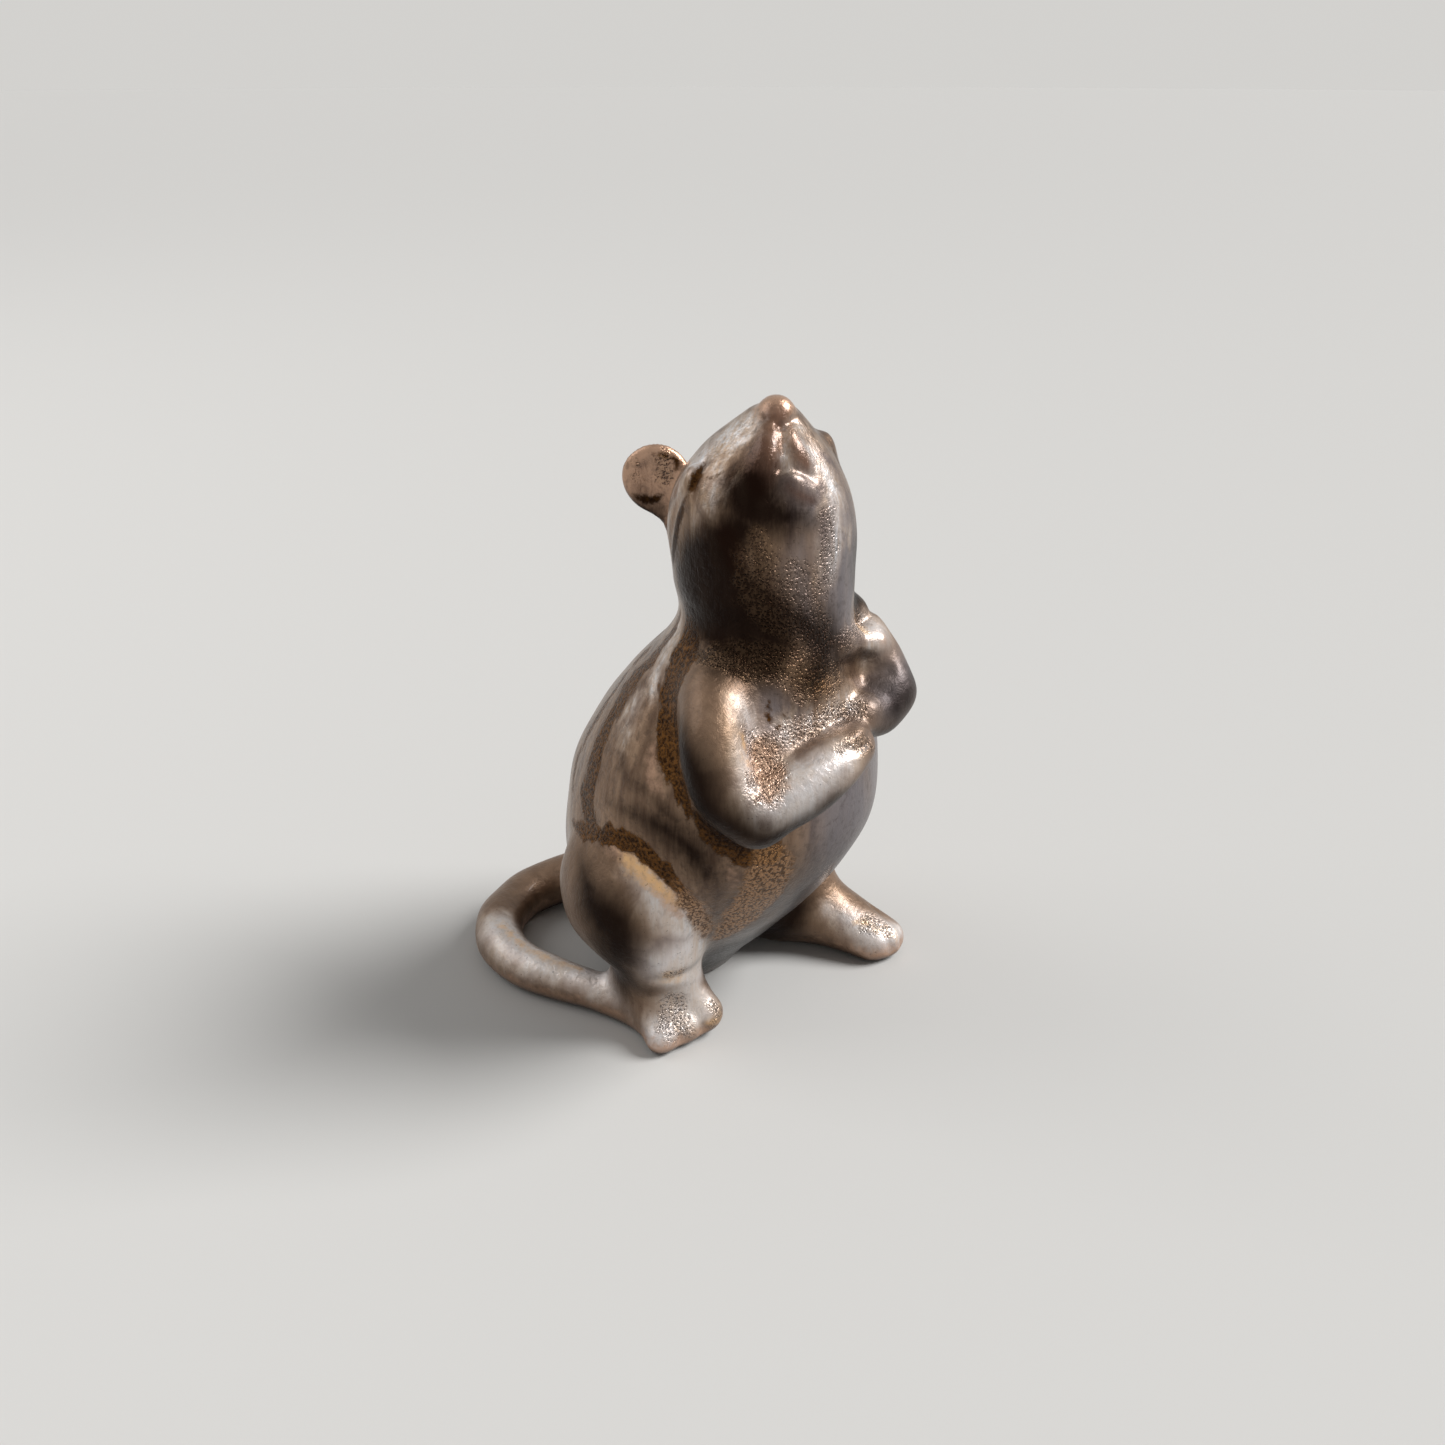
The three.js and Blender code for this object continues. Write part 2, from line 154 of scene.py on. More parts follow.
# %% Sections of the body
HEAD_TURN = math.radians(-27)
TORSO_ROWS = (
    (0.0, 0.0, 8.0, 10.5, 9.5),
    (5.0, 0.0, 7.6, 15.0, 12.9),
    (12.0, 0.0, 5.2, 18.5, 16.9),
    (20.0, 0.0, 2.2, 21.0, 20.6),
    (32.0, 0.0, -1.8, 22.8, 23.8),
    (43.0, 0.0, -4.2, 21.6, 22.6),
    (54.0, 0.0, -7.4, 17.2, 18.0),
    (64.0, 0.0, -11.3, 12.3, 12.8),
)
HEAD_ROWS = (
    (71.0, -0.2, 0.0, 12.7, 13.0),
    (77.5, -0.6, 0.0, 12.9, 13.2),
    (83.5, -0.9, -0.6, 11.8, 12.3),
    (88.4, -0.9, -1.5, 8.9, 9.4),
    (92.0, -0.5, -2.2, 5.5, 5.9),
    (94.0, -0.2, -2.4, 3.3, 3.4),
    (95.0, -0.2, -2.4, 1.6, 1.6),
    (95.4, -0.2, -2.4, 0.5, 0.5),
)
NECK_HEIGHT, _, NECK_BACK, *_ = TORSO_ROWS[-1]


def turned(x, y, angle):
    """A point turned about the upright axis."""
    return x * math.cos(angle) - y * math.sin(angle), x * math.sin(angle) + y * math.cos(angle)


def body_section(height, side, back, wide, deep, turn, origin):
    """One section in the body's frame: height, middle x and y, half width, half depth and turn."""
    x, y = turned(side, back, turn)
    return height, x, y + origin, wide, deep, turn


torso_sections = [body_section(*row, 0.0, 0.0) for row in TORSO_ROWS]
head_sections = [body_section(*row, HEAD_TURN, NECK_BACK) for row in HEAD_ROWS]
body_profile = smooth_path(torso_sections + head_sections, per_span=24)
print("sections through the body:", len(body_profile))


# %% Field of the body
def body_field(x, y, z):
    """Distance to the pear-shaped body, from its sections."""
    heights = body_profile[:, 0]
    middle_x, middle_y, wide, deep, turn = (
        np.interp(z, heights, column).astype(np.float32) for column in body_profile[:, 1:].T
    )
    east, north = x - middle_x, y - middle_y
    across = east * np.cos(turn) + north * np.sin(turn)
    along = north * np.cos(turn) - east * np.sin(turn)
    share = np.sqrt((across / wide) ** 2 + (along / deep) ** 2) - 1
    steep = np.sqrt(sum(part**2 for part in np.gradient(share, STEP)))
    return np.maximum(share / steep, z - heights[-1])


surface[:] = body_field(*window(BLOCK_LOW, BLOCK_HIGH)[1])
nearest[:] = surface
owner[:, :, axes[2] > NECK_HEIGHT] = NODES.index("head")
print("body laid, clay inside:", int((surface < 0).sum()), "grid points")


# %% Places on the body
def place(height, angle, out):
    """Point over the body's skin, by height, degrees from its front and distance out."""
    middle_x, middle_y, wide, deep, turn = (
        float(np.interp(height, body_profile[:, 0], column)) for column in body_profile[:, 1:].T
    )
    bearing = math.radians(angle)
    x, y = turned(math.sin(bearing) * (wide + out), -math.cos(bearing) * (deep + out), turn)
    return np.array((middle_x + x, middle_y + y, height))


def ball_field(middle, half_axes, turn=0.0, tip=0.0):
    """Field of a pressed ball: half axes across, outwards and up, turned about Z and tipped."""
    def field(x, y, z):
        east, north, rise = x - middle[0], y - middle[1], z - middle[2]
        side = east * math.cos(turn) + north * math.sin(turn)
        out = north * math.cos(turn) - east * math.sin(turn)
        across = side * math.cos(tip) - rise * math.sin(tip)
        up = side * math.sin(tip) + rise * math.cos(tip)
        parts = list(zip((across, out, up), half_axes))
        near = np.sqrt(sum((part / half) ** 2 for part, half in parts))
        steep = np.sqrt(sum((part / half**2) ** 2 for part, half in parts))
        return near * (near - 1) / np.maximum(steep, TINY)
    return field


def lay_ball(node, middle, half_axes, blend, turn=0.0, tip=0.0):
    """Presses a ball of clay on to the body."""
    reach = max(half_axes)
    lay(node, middle - reach, middle + reach, ball_field(middle, half_axes, turn, tip), blend)


def lay_lump(node, height, angle, out, half_axes, blend, tip=0.0):
    """Presses a ball of clay on to the body's skin, its outward axis away from the body."""
    turn = math.radians(angle) + (HEAD_TURN if height > NECK_HEIGHT else 0.0)
    lay_ball(node, place(height, angle, out), half_axes, blend, turn, tip)


print("front of the belly at the widest height:", place(32.0, 0, 0.0).round(1))

# %% [markdown]
# ## Coils and pressed lines
#
# Legs and tail are rolled coils. A coil is a row of short tapered rods, so its field is the least
# distance to any of them. The same distance, with no thickness, also serves for the lines that a tool
# presses into the clay: it is added to the field as a soft bell, which sinks a groove.

# %% Coils of clay
def coil_field(points, radii):
    """Field of a tapered coil along a row of points."""
    def field(x, y, z):
        least = FAR
        for a, b, girth_a, girth_b in zip(points, points[1:], radii, radii[1:]):
            rod = b - a
            away = (x - a[0], y - a[1], z - a[2])
            along = sum(part * step for part, step in zip(away, rod)) / (rod @ rod)
            along = np.clip(along, 0, 1)
            gap = np.sqrt(sum((part - along * step) ** 2 for part, step in zip(away, rod)))
            least = np.minimum(least, gap - girth_a - along * (girth_b - girth_a))
        return least
    return field


def lay_coil(node, rows, blend, per_span=8):
    """Lays a coil through rows of x, y, z and radius."""
    path = smooth_path(rows, per_span)
    points, radii = path[:, :3], path[:, 3]
    thick = radii.max()
    lay(node, points.min(0) - thick, points.max(0) + thick, coil_field(points, radii), blend)


upright_coil = coil_field(np.array(((0.0, 0.0, 0.0), (0.0, 0.0, 9.0))), (2.0, 2.0))
print("gap to a coil of radius 2 mm, 5 mm from its middle:", float(upright_coil(5.0, 0.0, 4.0)), "mm")

# %% Pressed lines
BELL_REACH = 2.5


def press(rows, depth, width, per_span=4):
    """Presses a groove along points on the clay, or raises a ridge where the depth is below zero."""
    points = smooth_path(rows, per_span)
    reach = BELL_REACH * width
    cut, grid = window(points.min(0) - reach, points.max(0) + reach)
    gap = coil_field(points, np.zeros(len(points)))(*grid)
    surface[cut] += (depth * np.exp(-((gap / width) ** 2))).astype(np.float32)


def dent(middle, depth, width):
    """Presses a round dish with a fingertip, or raises a bump where the depth is below zero."""
    middle = np.array(middle, float)
    reach = BELL_REACH * width
    cut, (x, y, z) = window(middle - reach, middle + reach)
    gap = (x - middle[0]) ** 2 + (y - middle[1]) ** 2 + (z - middle[2]) ** 2
    surface[cut] += (depth * np.exp(-gap / width**2)).astype(np.float32)


def skin(stations):
    """Points on the body's skin, from rows of height and degrees from the front."""
    return [place(height, angle, 0.0) for height, angle in stations]


print("a pressed line reaches out to", BELL_REACH, "times its width")

# %% [markdown]
# ## Face
#
# The underside of the snout shows two soft lip lobes with a fold between them, and a small chin under
# the mouth. Lips and chin are short coils, half sunk into the skin, because a coil can follow the bend
# of the snout. The nose is a separate knob and the eyes are low pellets on the cheeks, so these are
# pressed balls. The lines of the face are pressed later, when the clay is smoothed.

# %% Lips, chin, nose and eyes
LEFT_LIP = (
    (92.4, -21, -1.2, 1.5),
    (90.4, -21, -1.0, 2.0),
    (88.0, -21, -1.2, 2.0),
    (86.4, -22, -1.6, 1.4),
)
RIGHT_LIP = ((92.0, 7, -1.1, 1.4), (90.4, 10, -0.9, 1.7), (88.8, 15, -1.1, 1.4))
CHIN = ((87.6, -5, -1.3, 1.3), (86.6, 4, -0.9, 1.6), (85.6, 14, -1.3, 1.3))


def lay_fold(rows, blend):
    """Lays a fold of the face, through rows of height, degrees, distance out and radius."""
    lay_coil("head", [(*place(height, angle, out), girth) for height, angle, out, girth in rows], blend)


lay_fold(LEFT_LIP, blend=1.2)
lay_fold(RIGHT_LIP, blend=1.2)
lay_fold(CHIN, blend=1.1)
NOSE_MIDDLE, NOSE_HALF_AXES = np.array((-2.2, -14.8, 94.3)), (2.5, 2.5, 2.3)
lay_ball("nose", NOSE_MIDDLE, NOSE_HALF_AXES, blend=0.7)
EYE_HALF_AXES = (2.2, 1.5, 2.8)
lay_lump("right_eye", height=84.8, angle=-80, out=-0.8, half_axes=EYE_HALF_AXES, blend=1.6)
lay_lump("left_eye", height=87.6, angle=90, out=-0.95, half_axes=EYE_HALF_AXES, blend=1.6)
print("face laid on the head, nose at", NOSE_MIDDLE)

# %% [markdown]
# ## Ears
#
# An ear is a round slab with a thumb-pressed dish, drawn out into a root that runs down the cheek. The
# dish is a large ball taken away from the slab before the ear is luted on, so that the ball never
# bites into the head.

# %% Dished ears
EAR_HALF_AXES = (5.1, 1.6, 4.7)
EAR_FACING = math.radians(20)
EAR_DISH_RADIUS, EAR_DISH_DEPTH = 4.4, 1.0
EAR_RIM_ROUND = 0.6
EAR_HEIGHT, EAR_ANGLE, EAR_OUT = 82.6, 138, 5.0
EAR_ROOT = ((80.2, 134, 3.2, 3.1), (76.0, 124, -0.6, 2.0))
EAR_ROOT_BLEND, EAR_BLEND = 2.6, 1.8


def lay_ear(node, side):
    """Lutes one dished ear to the head."""
    middle = place(EAR_HEIGHT, side * EAR_ANGLE, EAR_OUT)
    root = np.array([(*place(height, side * angle, out), girth) for height, angle, out, girth in EAR_ROOT])
    turn = HEAD_TURN + side * EAR_FACING
    thumb = (EAR_DISH_RADIUS**2 + EAR_DISH_DEPTH**2) / (2 * EAR_DISH_DEPTH)
    away = -(EAR_HALF_AXES[1] - EAR_DISH_DEPTH + thumb)
    dish_x, dish_y = turned(0.0, away, turn)
    slab_field = ball_field(middle, EAR_HALF_AXES, turn)
    root_field = coil_field(root[:, :3], root[:, 3])
    dish_field = ball_field(middle + (dish_x, dish_y, 0.0), (thumb,) * 3)

    def field(x, y, z):
        whole = smooth_union(slab_field(x, y, z), root_field(x, y, z), EAR_ROOT_BLEND)
        return smooth_cut(whole, dish_field(x, y, z), EAR_RIM_ROUND)

    reach = max(EAR_HALF_AXES)
    corners = np.vstack([middle, root[:, :3]])
    lay(node, corners.min(0) - reach, corners.max(0) + reach, field, EAR_BLEND)


lay_ear("right_ear", -1)
lay_ear("left_ear", 1)
print("ears laid")

# %% [markdown]
# ## Forelegs
#
# Each foreleg is a rolled coil, bent at the elbow. The upper arm melts broadly into the shoulder, so
# it gets a large blend; the forearm lies on the chest with a sharper crease, so it gets a small one. A
# fill of clay in the bend makes the hollow there shallow, as on the real one.

# %% Arms and paws
RIGHT_UPPER_ARM = (
    (-9.0, -10.0, 59.0, 4.0),
    (-14.2, -15.4, 57.0, 4.5),
    (-17.7, -18.8, 52.6, 4.6),
    (-18.0, -21.4, 46.9, 4.5),
    (-15.4, -24.4, 43.6, 4.3),
)
RIGHT_FOREARM = (
    (-15.4, -24.4, 43.6, 4.3),
    (-9.6, -26.6, 46.0, 4.4),
    (-4.6, -28.2, 48.6, 4.1),
    (-0.4, -28.6, 50.2, 3.3),
)
LEFT_UPPER_ARM = (
    (10.0, -17.5, 63.5, 3.4),
    (11.4, -20.0, 60.0, 3.8),
    (11.8, -22.2, 56.6, 4.3),
    (11.6, -24.2, 53.6, 4.2),
)
LEFT_FOREARM = (
    (11.6, -24.2, 53.6, 4.2),
    (8.4, -25.4, 51.8, 3.8),
    (4.8, -25.8, 52.4, 3.2),
)
BEND_FILL, BEND_FILL_AXES = np.array((-9.4, -20.6, 49.6)), (4.6, 4.2, 4.6)
SHOULDER, SHOULDER_AXES = np.array((10.6, -21.2, 61.0)), (3.2, 3.0, 2.8)
lay_coil("right_foreleg", RIGHT_UPPER_ARM, blend=4.4)
lay_ball("right_foreleg", BEND_FILL, BEND_FILL_AXES, blend=3.0)
lay_coil("right_foreleg", RIGHT_FOREARM, blend=1.5)
lay_coil("left_foreleg", LEFT_UPPER_ARM, blend=2.2)
lay_coil("left_foreleg", LEFT_FOREARM, blend=1.8)
lay_ball("left_foreleg", SHOULDER, SHOULDER_AXES, blend=1.0)
print("forelegs laid, from", len(RIGHT_UPPER_ARM) + len(LEFT_UPPER_ARM), "points in the upper arms")

# %% [markdown]
# ## Haunches, feet and tail
#
# The haunches are pads pressed against the body, drawn down into narrow ankles. The right foot fans
# into a paddle, the left one points forward, and the tail is one long coil that curls round the right
# side and melts into the right foot. Larger blends are used where the glaze has filled the joint.

# %% Haunches
HAUNCH_TIP = 0.5
RIGHT_PAD, LEFT_PAD = (11.8, 9.0, 11.6), (13.0, 8.8, 11.8)
lay_lump("right_haunch", height=22.4, angle=-83, out=-3.7, half_axes=RIGHT_PAD, blend=2.2, tip=-HAUNCH_TIP)
lay_lump("left_haunch", height=19.5, angle=102, out=-3.8, half_axes=LEFT_PAD, blend=2.4, tip=HAUNCH_TIP)
RIGHT_SHIN = ((-18.6, -3.5, 22.0, 7.6), (-17.4, -6.2, 15.0, 6.6), (-15.6, -5.2, 8.5, 5.4))
LEFT_SHIN = ((17.4, 1.5, 17.0, 7.4), (17.2, -2.2, 12.0, 6.4), (16.2, -3.2, 7.5, 5.4))
lay_coil("right_haunch", RIGHT_SHIN, blend=3.0)
lay_coil("left_haunch", LEFT_SHIN, blend=3.0)
print("haunches laid, tipped by", HAUNCH_TIP, "radians")

# %% Feet
RIGHT_HEEL = (-15.6, -2.4, 6.0)
LEFT_HEEL = (15.8, -1.2, 6.6)
RIGHT_TOES = (
    ((-14.4, -7.6, 5.0, 4.2), (-13.0, -11.4, 3.4, 3.2)),
    ((-16.6, -7.6, 4.6, 4.0), (-17.0, -11.0, 2.6, 2.8)),
    ((-18.4, -6.6, 3.4, 3.3), (-20.8, -10.6, 2.1, 2.4)),
)
LEFT_TOES = (
    ((18.8, -8.4, 4.8, 4.6), (20.2, -17.2, 2.5, 2.6)),
    ((19.8, -8.6, 5.0, 4.6), (22.8, -18.2, 2.8, 2.7)),
    ((20.8, -8.2, 4.6, 4.3), (24.9, -17.2, 2.6, 2.5)),
)
RIGHT_HEEL_AXES, LEFT_HEEL_AXES = (5.4, 6.4, 6.6), (6.2, 7.0, 6.8)
TOE_BLEND, HEEL_MARGIN = 2.2, 1.0


def lay_foot(node, heel, heel_axes, toes, blend):
    """Lays a foot: a heel, and a coil from it through a knuckle to each toe."""
    heel = np.array(heel)
    heel_field = ball_field(heel, heel_axes)
    toe_fields, corners = [], [heel]
    for knuckle, tip in toes:
        path = smooth_path([(*heel, min(heel_axes) - HEEL_MARGIN), knuckle, tip], per_span=8)
        toe_fields.append(coil_field(path[:, :3], path[:, 3]))
        corners.append(np.array(tip[:3]))

    def field(x, y, z):
        whole = heel_field(x, y, z)
        for toe in toe_fields:
            whole = smooth_union(whole, toe(x, y, z), TOE_BLEND)
        return whole

    reach = max(heel_axes) + HEEL_MARGIN
    lay(node, np.min(corners, 0) - reach, np.max(corners, 0) + reach, field, blend)


lay_foot("right_hind_foot", RIGHT_HEEL, RIGHT_HEEL_AXES, RIGHT_TOES, blend=3.6)
lay_foot("left_hind_foot", LEFT_HEEL, LEFT_HEEL_AXES, LEFT_TOES, blend=4.6)
print("feet laid, toes on each:", len(RIGHT_TOES))

# %% Tail
TAIL_ROWS = (
    (0.0, 17.0, 7.5, 4.6),
    (-2.0, 30.5, 5.0, 4.3),
    (-9.5, 34.4, 3.6, 4.0),
    (-18.0, 31.8, 3.4, 3.9),
    (-23.6, 24.8, 3.4, 3.8),
    (-24.2, 15.8, 3.2, 3.5),
    (-21.4, 7.4, 3.0, 3.2),
    (-19.2, -0.4, 2.6, 2.8),
    (-18.8, -5.0, 1.8, 2.0),
)
lay_coil("tail", TAIL_ROWS, blend=2.4)
print("tail laid through", len(TAIL_ROWS), "points")

# %% [markdown]
# ## Tool marks
#
# A damp sponge first rounds every edge a little, which is a blur of the field. Then come the lines
# that a tool or a fingernail leaves: the fold of the lip, the mouth, the creases round the eye, the
# fingers and toes and the dish on the foot. Last, the whole skin gets the slight unevenness of a
# hand-pressed wall, as a sum of a few long waves with seeded directions.

# %% Sponge
SPONGE_PASSES = 3
for _ in range(SPONGE_PASSES):
    for axis in range(3):
        layers = np.moveaxis(surface, axis, 0)
        layers[1:-1] = (layers[:-2] + 2 * layers[1:-1] + layers[2:]) / 4
print("clay rounded, passes of the sponge:", SPONGE_PASSES)

# %% Lines of the face
press(skin([(92.8, -6), (90.8, -6), (88.6, -6)]), depth=0.35, width=0.8)
press(skin([(93.4, -34), (92.9, -14), (92.9, 4), (93.5, 20)]), depth=0.4, width=0.6)
press(skin([(88.6, -6), (88.2, 6), (87.2, 18)]), depth=0.5, width=0.7)
press(skin([(88.4, -9), (86.6, -13), (85.0, -15)]), depth=0.5, width=0.9)
press(
    [(-10.4, -9.7, 88.0), (-11.5, -10.0, 86.9), (-12.5, -10.1, 85.7), (-12.8, -8.9, 84.6)],
    depth=0.3, width=0.6,
)
press(
    [(-12.7, -8.0, 84.1), (-12.3, -6.6, 81.8), (-12.1, -5.5, 79.2), (-11.4, -4.1, 75.9)],
    depth=0.3, width=0.6,
)
print("fold, mouth and creases pressed into the face")

# %% Fingers, toes and foot
press(
    [(-10.6, -27.6, 51.6), (-5.0, -31.0, 52.2), (-2.6, -31.4, 51.6), (0.6, -30.8, 52.0)],
    depth=0.7, width=0.9,
)
press([(3.0, -23.9, 62.9), (6.2, -23.6, 62.3), (9.4, -24.3, 61.5)], depth=-1.5, width=1.9)
press(
    [(1.8, -24.4, 60.2), (4.6, -24.2, 58.8), (7.4, -24.2, 57.7), (9.8, -25.8, 57.5)],
    depth=0.7, width=1.0,
)
press([(6.2, -19.8, 64.4), (9.6, -20.9, 63.2), (13.0, -19.4, 64.2)], depth=0.6, width=1.0)
press([(-15.2, -10.6, 6.4), (-15.2, -14.0, 2.4)], depth=0.5, width=0.9)
press([(-18.8, -9.6, 5.0), (-19.0, -13.6, 1.8)], depth=0.5, width=0.9)
dent((-17.4, -11.6, 6.2), depth=0.6, width=1.9)
dent((-15.4, -9.4, 9.6), depth=-0.9, width=2.2)
press([(-21.0, -10.0, 13.4), (-17.5, -12.6, 13.0), (-14.0, -12.2, 12.6)], depth=0.4, width=1.0)
dent((-13.2, -11.0, 6.6), depth=-0.5, width=1.6)
press([(21.4, -14.6, 6.2), (21.6, -18.0, 4.8), (21.4, -21.0, 2.4)], depth=0.5, width=0.8)
press([(23.8, -14.0, 6.4), (24.2, -17.6, 5.0), (24.2, -20.4, 2.6)], depth=0.5, width=0.8)
print("fingers, toes and foot pressed")

# %% Hand-pressed unevenness
WAVES, WAVE_HEIGHT = 16, 0.028
WAVE_LENGTHS = (7.0, 20.0)
SKIN_DEPTH = 2.0
waves = np.random.default_rng(11)
close = np.abs(surface) < SKIN_DEPTH
spots = np.stack(np.nonzero(close), 1) * STEP
for _ in range(WAVES):
    heading = waves.normal(size=3)
    heading *= 2 * math.pi / waves.uniform(*WAVE_LENGTHS) / np.linalg.norm(heading)
    surface[close] += WAVE_HEIGHT * np.sin(spots @ heading + waves.uniform(0, 2 * math.pi))
print("uneven skin, waves:", WAVES)

# %% The seat and the vent
VENT_RADIUS, VENT_BACK, VENT_DEPTH = 2.5, 5.0, 9.0
SEAT_EDGE, SEAT_ZONE = 0.8, 12.0
cut, (x, y, z) = window(BLOCK_LOW, (BLOCK_HIGH[0], BLOCK_HIGH[1], SEAT_ZONE))
surface[cut] = smooth_cut(surface[cut], z, SEAT_EDGE)
vent = np.maximum(np.hypot(x, y - SEAT_BACK - VENT_BACK) - VENT_RADIUS, z - VENT_DEPTH)
surface[cut] = smooth_cut(surface[cut], vent, SEAT_EDGE)
print("flat seat cut, with a vent of radius", VENT_RADIUS, "mm")

# %% [markdown]
# ## From field to mesh
#
# Surface nets put one vertex in every grid cell that the surface crosses, and one quad across every
# grid edge that it cuts. Here each grid point also knows which lump it belongs to, so the same pass
# gives meshes that share their border vertices: the joints stay without a visible seam. A strip leads
# from each border down to the joint faces. Where a border touches itself, two strips lie on each other,
# facing both ways, hidden under the skin.

# %% Sampling the field
low_corner = np.array([axis[0] for axis in axes])


def sample(field, points):
    """Values of a grid field at points in millimetres, by trilinear interpolation."""
    spot = (points - low_corner) / STEP
    base = np.clip(spot.astype(int), 0, np.array(block) - 2)
    share = spot - base
    total = np.zeros(len(points))
    for corner in np.ndindex(2, 2, 2):
        weight = np.prod(np.where(corner, share, 1 - share), axis=1)
        total += weight * field[tuple((base + corner).T)]
    return total


def slope(field, points, reach=STEP):
    """Gradient of a grid field at points."""
    steps = np.eye(3) * reach
    rises = [sample(field, points + step) - sample(field, points - step) for step in steps]
    return np.stack(rises, 1) / (2 * reach)


belly_middle = np.array([(0.0, 0.0, 32.0)])
print("depth of the belly's middle under the skin, in mm:", -sample(surface, belly_middle).round(1))

# %% Cells that the surface crosses
label = np.where(surface < 0, owner + 1, 0).astype(np.uint8)
least, most = label, label
for axis in range(3):
    ahead = [slice(None)] * 3
    behind = [slice(None)] * 3
    ahead[axis], behind[axis] = slice(1, None), slice(None, -1)
    least = np.minimum(least[tuple(behind)], least[tuple(ahead)])
    most = np.maximum(most[tuple(behind)], most[tuple(ahead)])
cells = np.argwhere(least != most)
cell_number = np.full(least.shape, -1, np.int32)
cell_number[tuple(cells.T)] = np.arange(len(cells))
print("cells with a surface or a joint in them:", len(cells))

# %% One vertex in each cell
SETTLE_PASSES, LEAST_SLOPE = 2, 0.04
corners = list(np.ndindex(2, 2, 2))
corner_values = np.stack([surface[tuple((cells + c).T)] for c in corners], 1)
corner_labels = np.stack([label[tuple((cells + c).T)] for c in corners], 1)
skin_sum, skin_count = np.zeros((len(cells), 3)), np.zeros(len(cells))
wall_sum, wall_count = np.zeros((len(cells), 3)), np.zeros(len(cells))
for a, first in enumerate(corners):
    for b, second in enumerate(corners):
        if b <= a or sum(abs(np.subtract(first, second))) != 1:
            continue
        inside_a, inside_b = corner_labels[:, a] > 0, corner_labels[:, b] > 0
        crossing = inside_a != inside_b
        drop = np.where(crossing, corner_values[:, a] - corner_values[:, b], 1)
        share = (corner_values[:, a] / drop)[:, None]
        spot = np.array(first) + share * np.subtract(second, first)
        skin_sum += np.where(crossing[:, None], spot, 0)
        skin_count += crossing
        wall = inside_a & inside_b & (corner_labels[:, a] != corner_labels[:, b])
        wall_sum += np.where(wall[:, None], np.add(first, second) / 2, 0)
        wall_count += wall
on_skin = skin_count > 0
crossings = np.where(on_skin, skin_count, wall_count)
spots = np.where(on_skin[:, None], skin_sum, wall_sum) / crossings[:, None]
points = low_corner + STEP * (cells + spots)
for _ in range(SETTLE_PASSES):
    gradient = slope(surface, points[on_skin])
    depth = sample(surface, points[on_skin]) / np.maximum((gradient**2).sum(1), LEAST_SLOPE)
    points[on_skin] -= np.clip(depth, -STEP, STEP)[:, None] * gradient
normals = slope(surface, points)
normals /= np.maximum(np.linalg.norm(normals, axis=1), TINY)[:, None]
print("vertices:", len(points), "of them on the skin:", int(on_skin.sum()))

# %% Quads between the vertices
quads = []
for axis in range(3):
    first, second = (axis + 1) % 3, (axis + 2) % 3
    ahead, behind = [slice(None)] * 3, [slice(None)] * 3
    ahead[axis], behind[axis] = slice(1, None), slice(None, -1)
    edges = np.argwhere(label[tuple(behind)] != label[tuple(ahead)])
    unit = np.eye(3, dtype=int)
    around = [edges - unit[first] - unit[second], edges - unit[second], edges, edges - unit[first]]
    faces = np.stack([cell_number[tuple(cell.T)] for cell in around], 1)
    low_label = label[tuple(edges.T)]
    high_label = label[tuple((edges + unit[axis]).T)]
    quads.append((faces, low_label, high_label))
all_faces, low_labels, high_labels = (np.concatenate(parts) for parts in zip(*quads))
print("quads across grid edges:", len(all_faces))

# %% One mesh for each piece
INSET = 0.25


def luted_faces(number):
    """Faces of one piece: its skin, its joint faces a little under the skin, and a strip between."""
    here = np.concatenate([all_faces[low_labels == number], all_faces[high_labels == number][:, ::-1]])
    other = np.concatenate([high_labels[low_labels == number], low_labels[high_labels == number]])
    skin_faces, joint_faces = here[other == 0], here[other > 0]
    skin_edges = np.concatenate([skin_faces[:, [i, (i + 1) % 4]] for i in range(4)])
    joint_edges = np.concatenate([joint_faces[:, [(i + 1) % 4, i]] for i in range(4)])
    border = skin_edges[np.isin(skin_edges @ (len(points), 1), joint_edges @ (len(points), 1))]
    sunk = np.where(on_skin, len(points), 0)
    below = border + sunk[border]
    strip = np.stack([border[:, 1], border[:, 0], below[:, 0], below[:, 1]], 1)
    return np.concatenate([skin_faces, joint_faces + sunk[joint_faces], strip])


both_points = np.vstack([points, points - INSET * normals])
both_normals = np.vstack([normals, normals])
pieces = {}
piece_points = {}
for number, node in enumerate(NODES, 1):
    used, faces = np.unique(luted_faces(number), return_inverse=True)
    faces = faces.reshape(-1, 4)
    metres = (both_points[used] - (0, SEAT_BACK, 0)) * MM
    mesh = bpy.data.meshes.new(node + "_clay")
    mesh.from_pydata(metres.tolist(), [], faces.tolist())
    mesh.shade_smooth()
    mesh.normals_split_custom_set_from_vertices(both_normals[used].tolist())
    piece = bpy.data.objects.new("glazed_" + node, mesh)
    bpy.context.scene.collection.objects.link(piece)
    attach(piece, "root")
    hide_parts(node)
    pieces[node] = piece
    piece_points[node] = used % len(points)
print("faces:", {node: len(piece.data.polygons) for node, piece in pieces.items()})

# %% Slots
slots = {entry["node"]: entry["material_slot"] for entry in frame["record"]["subparts"]}
print("slots:", slots)

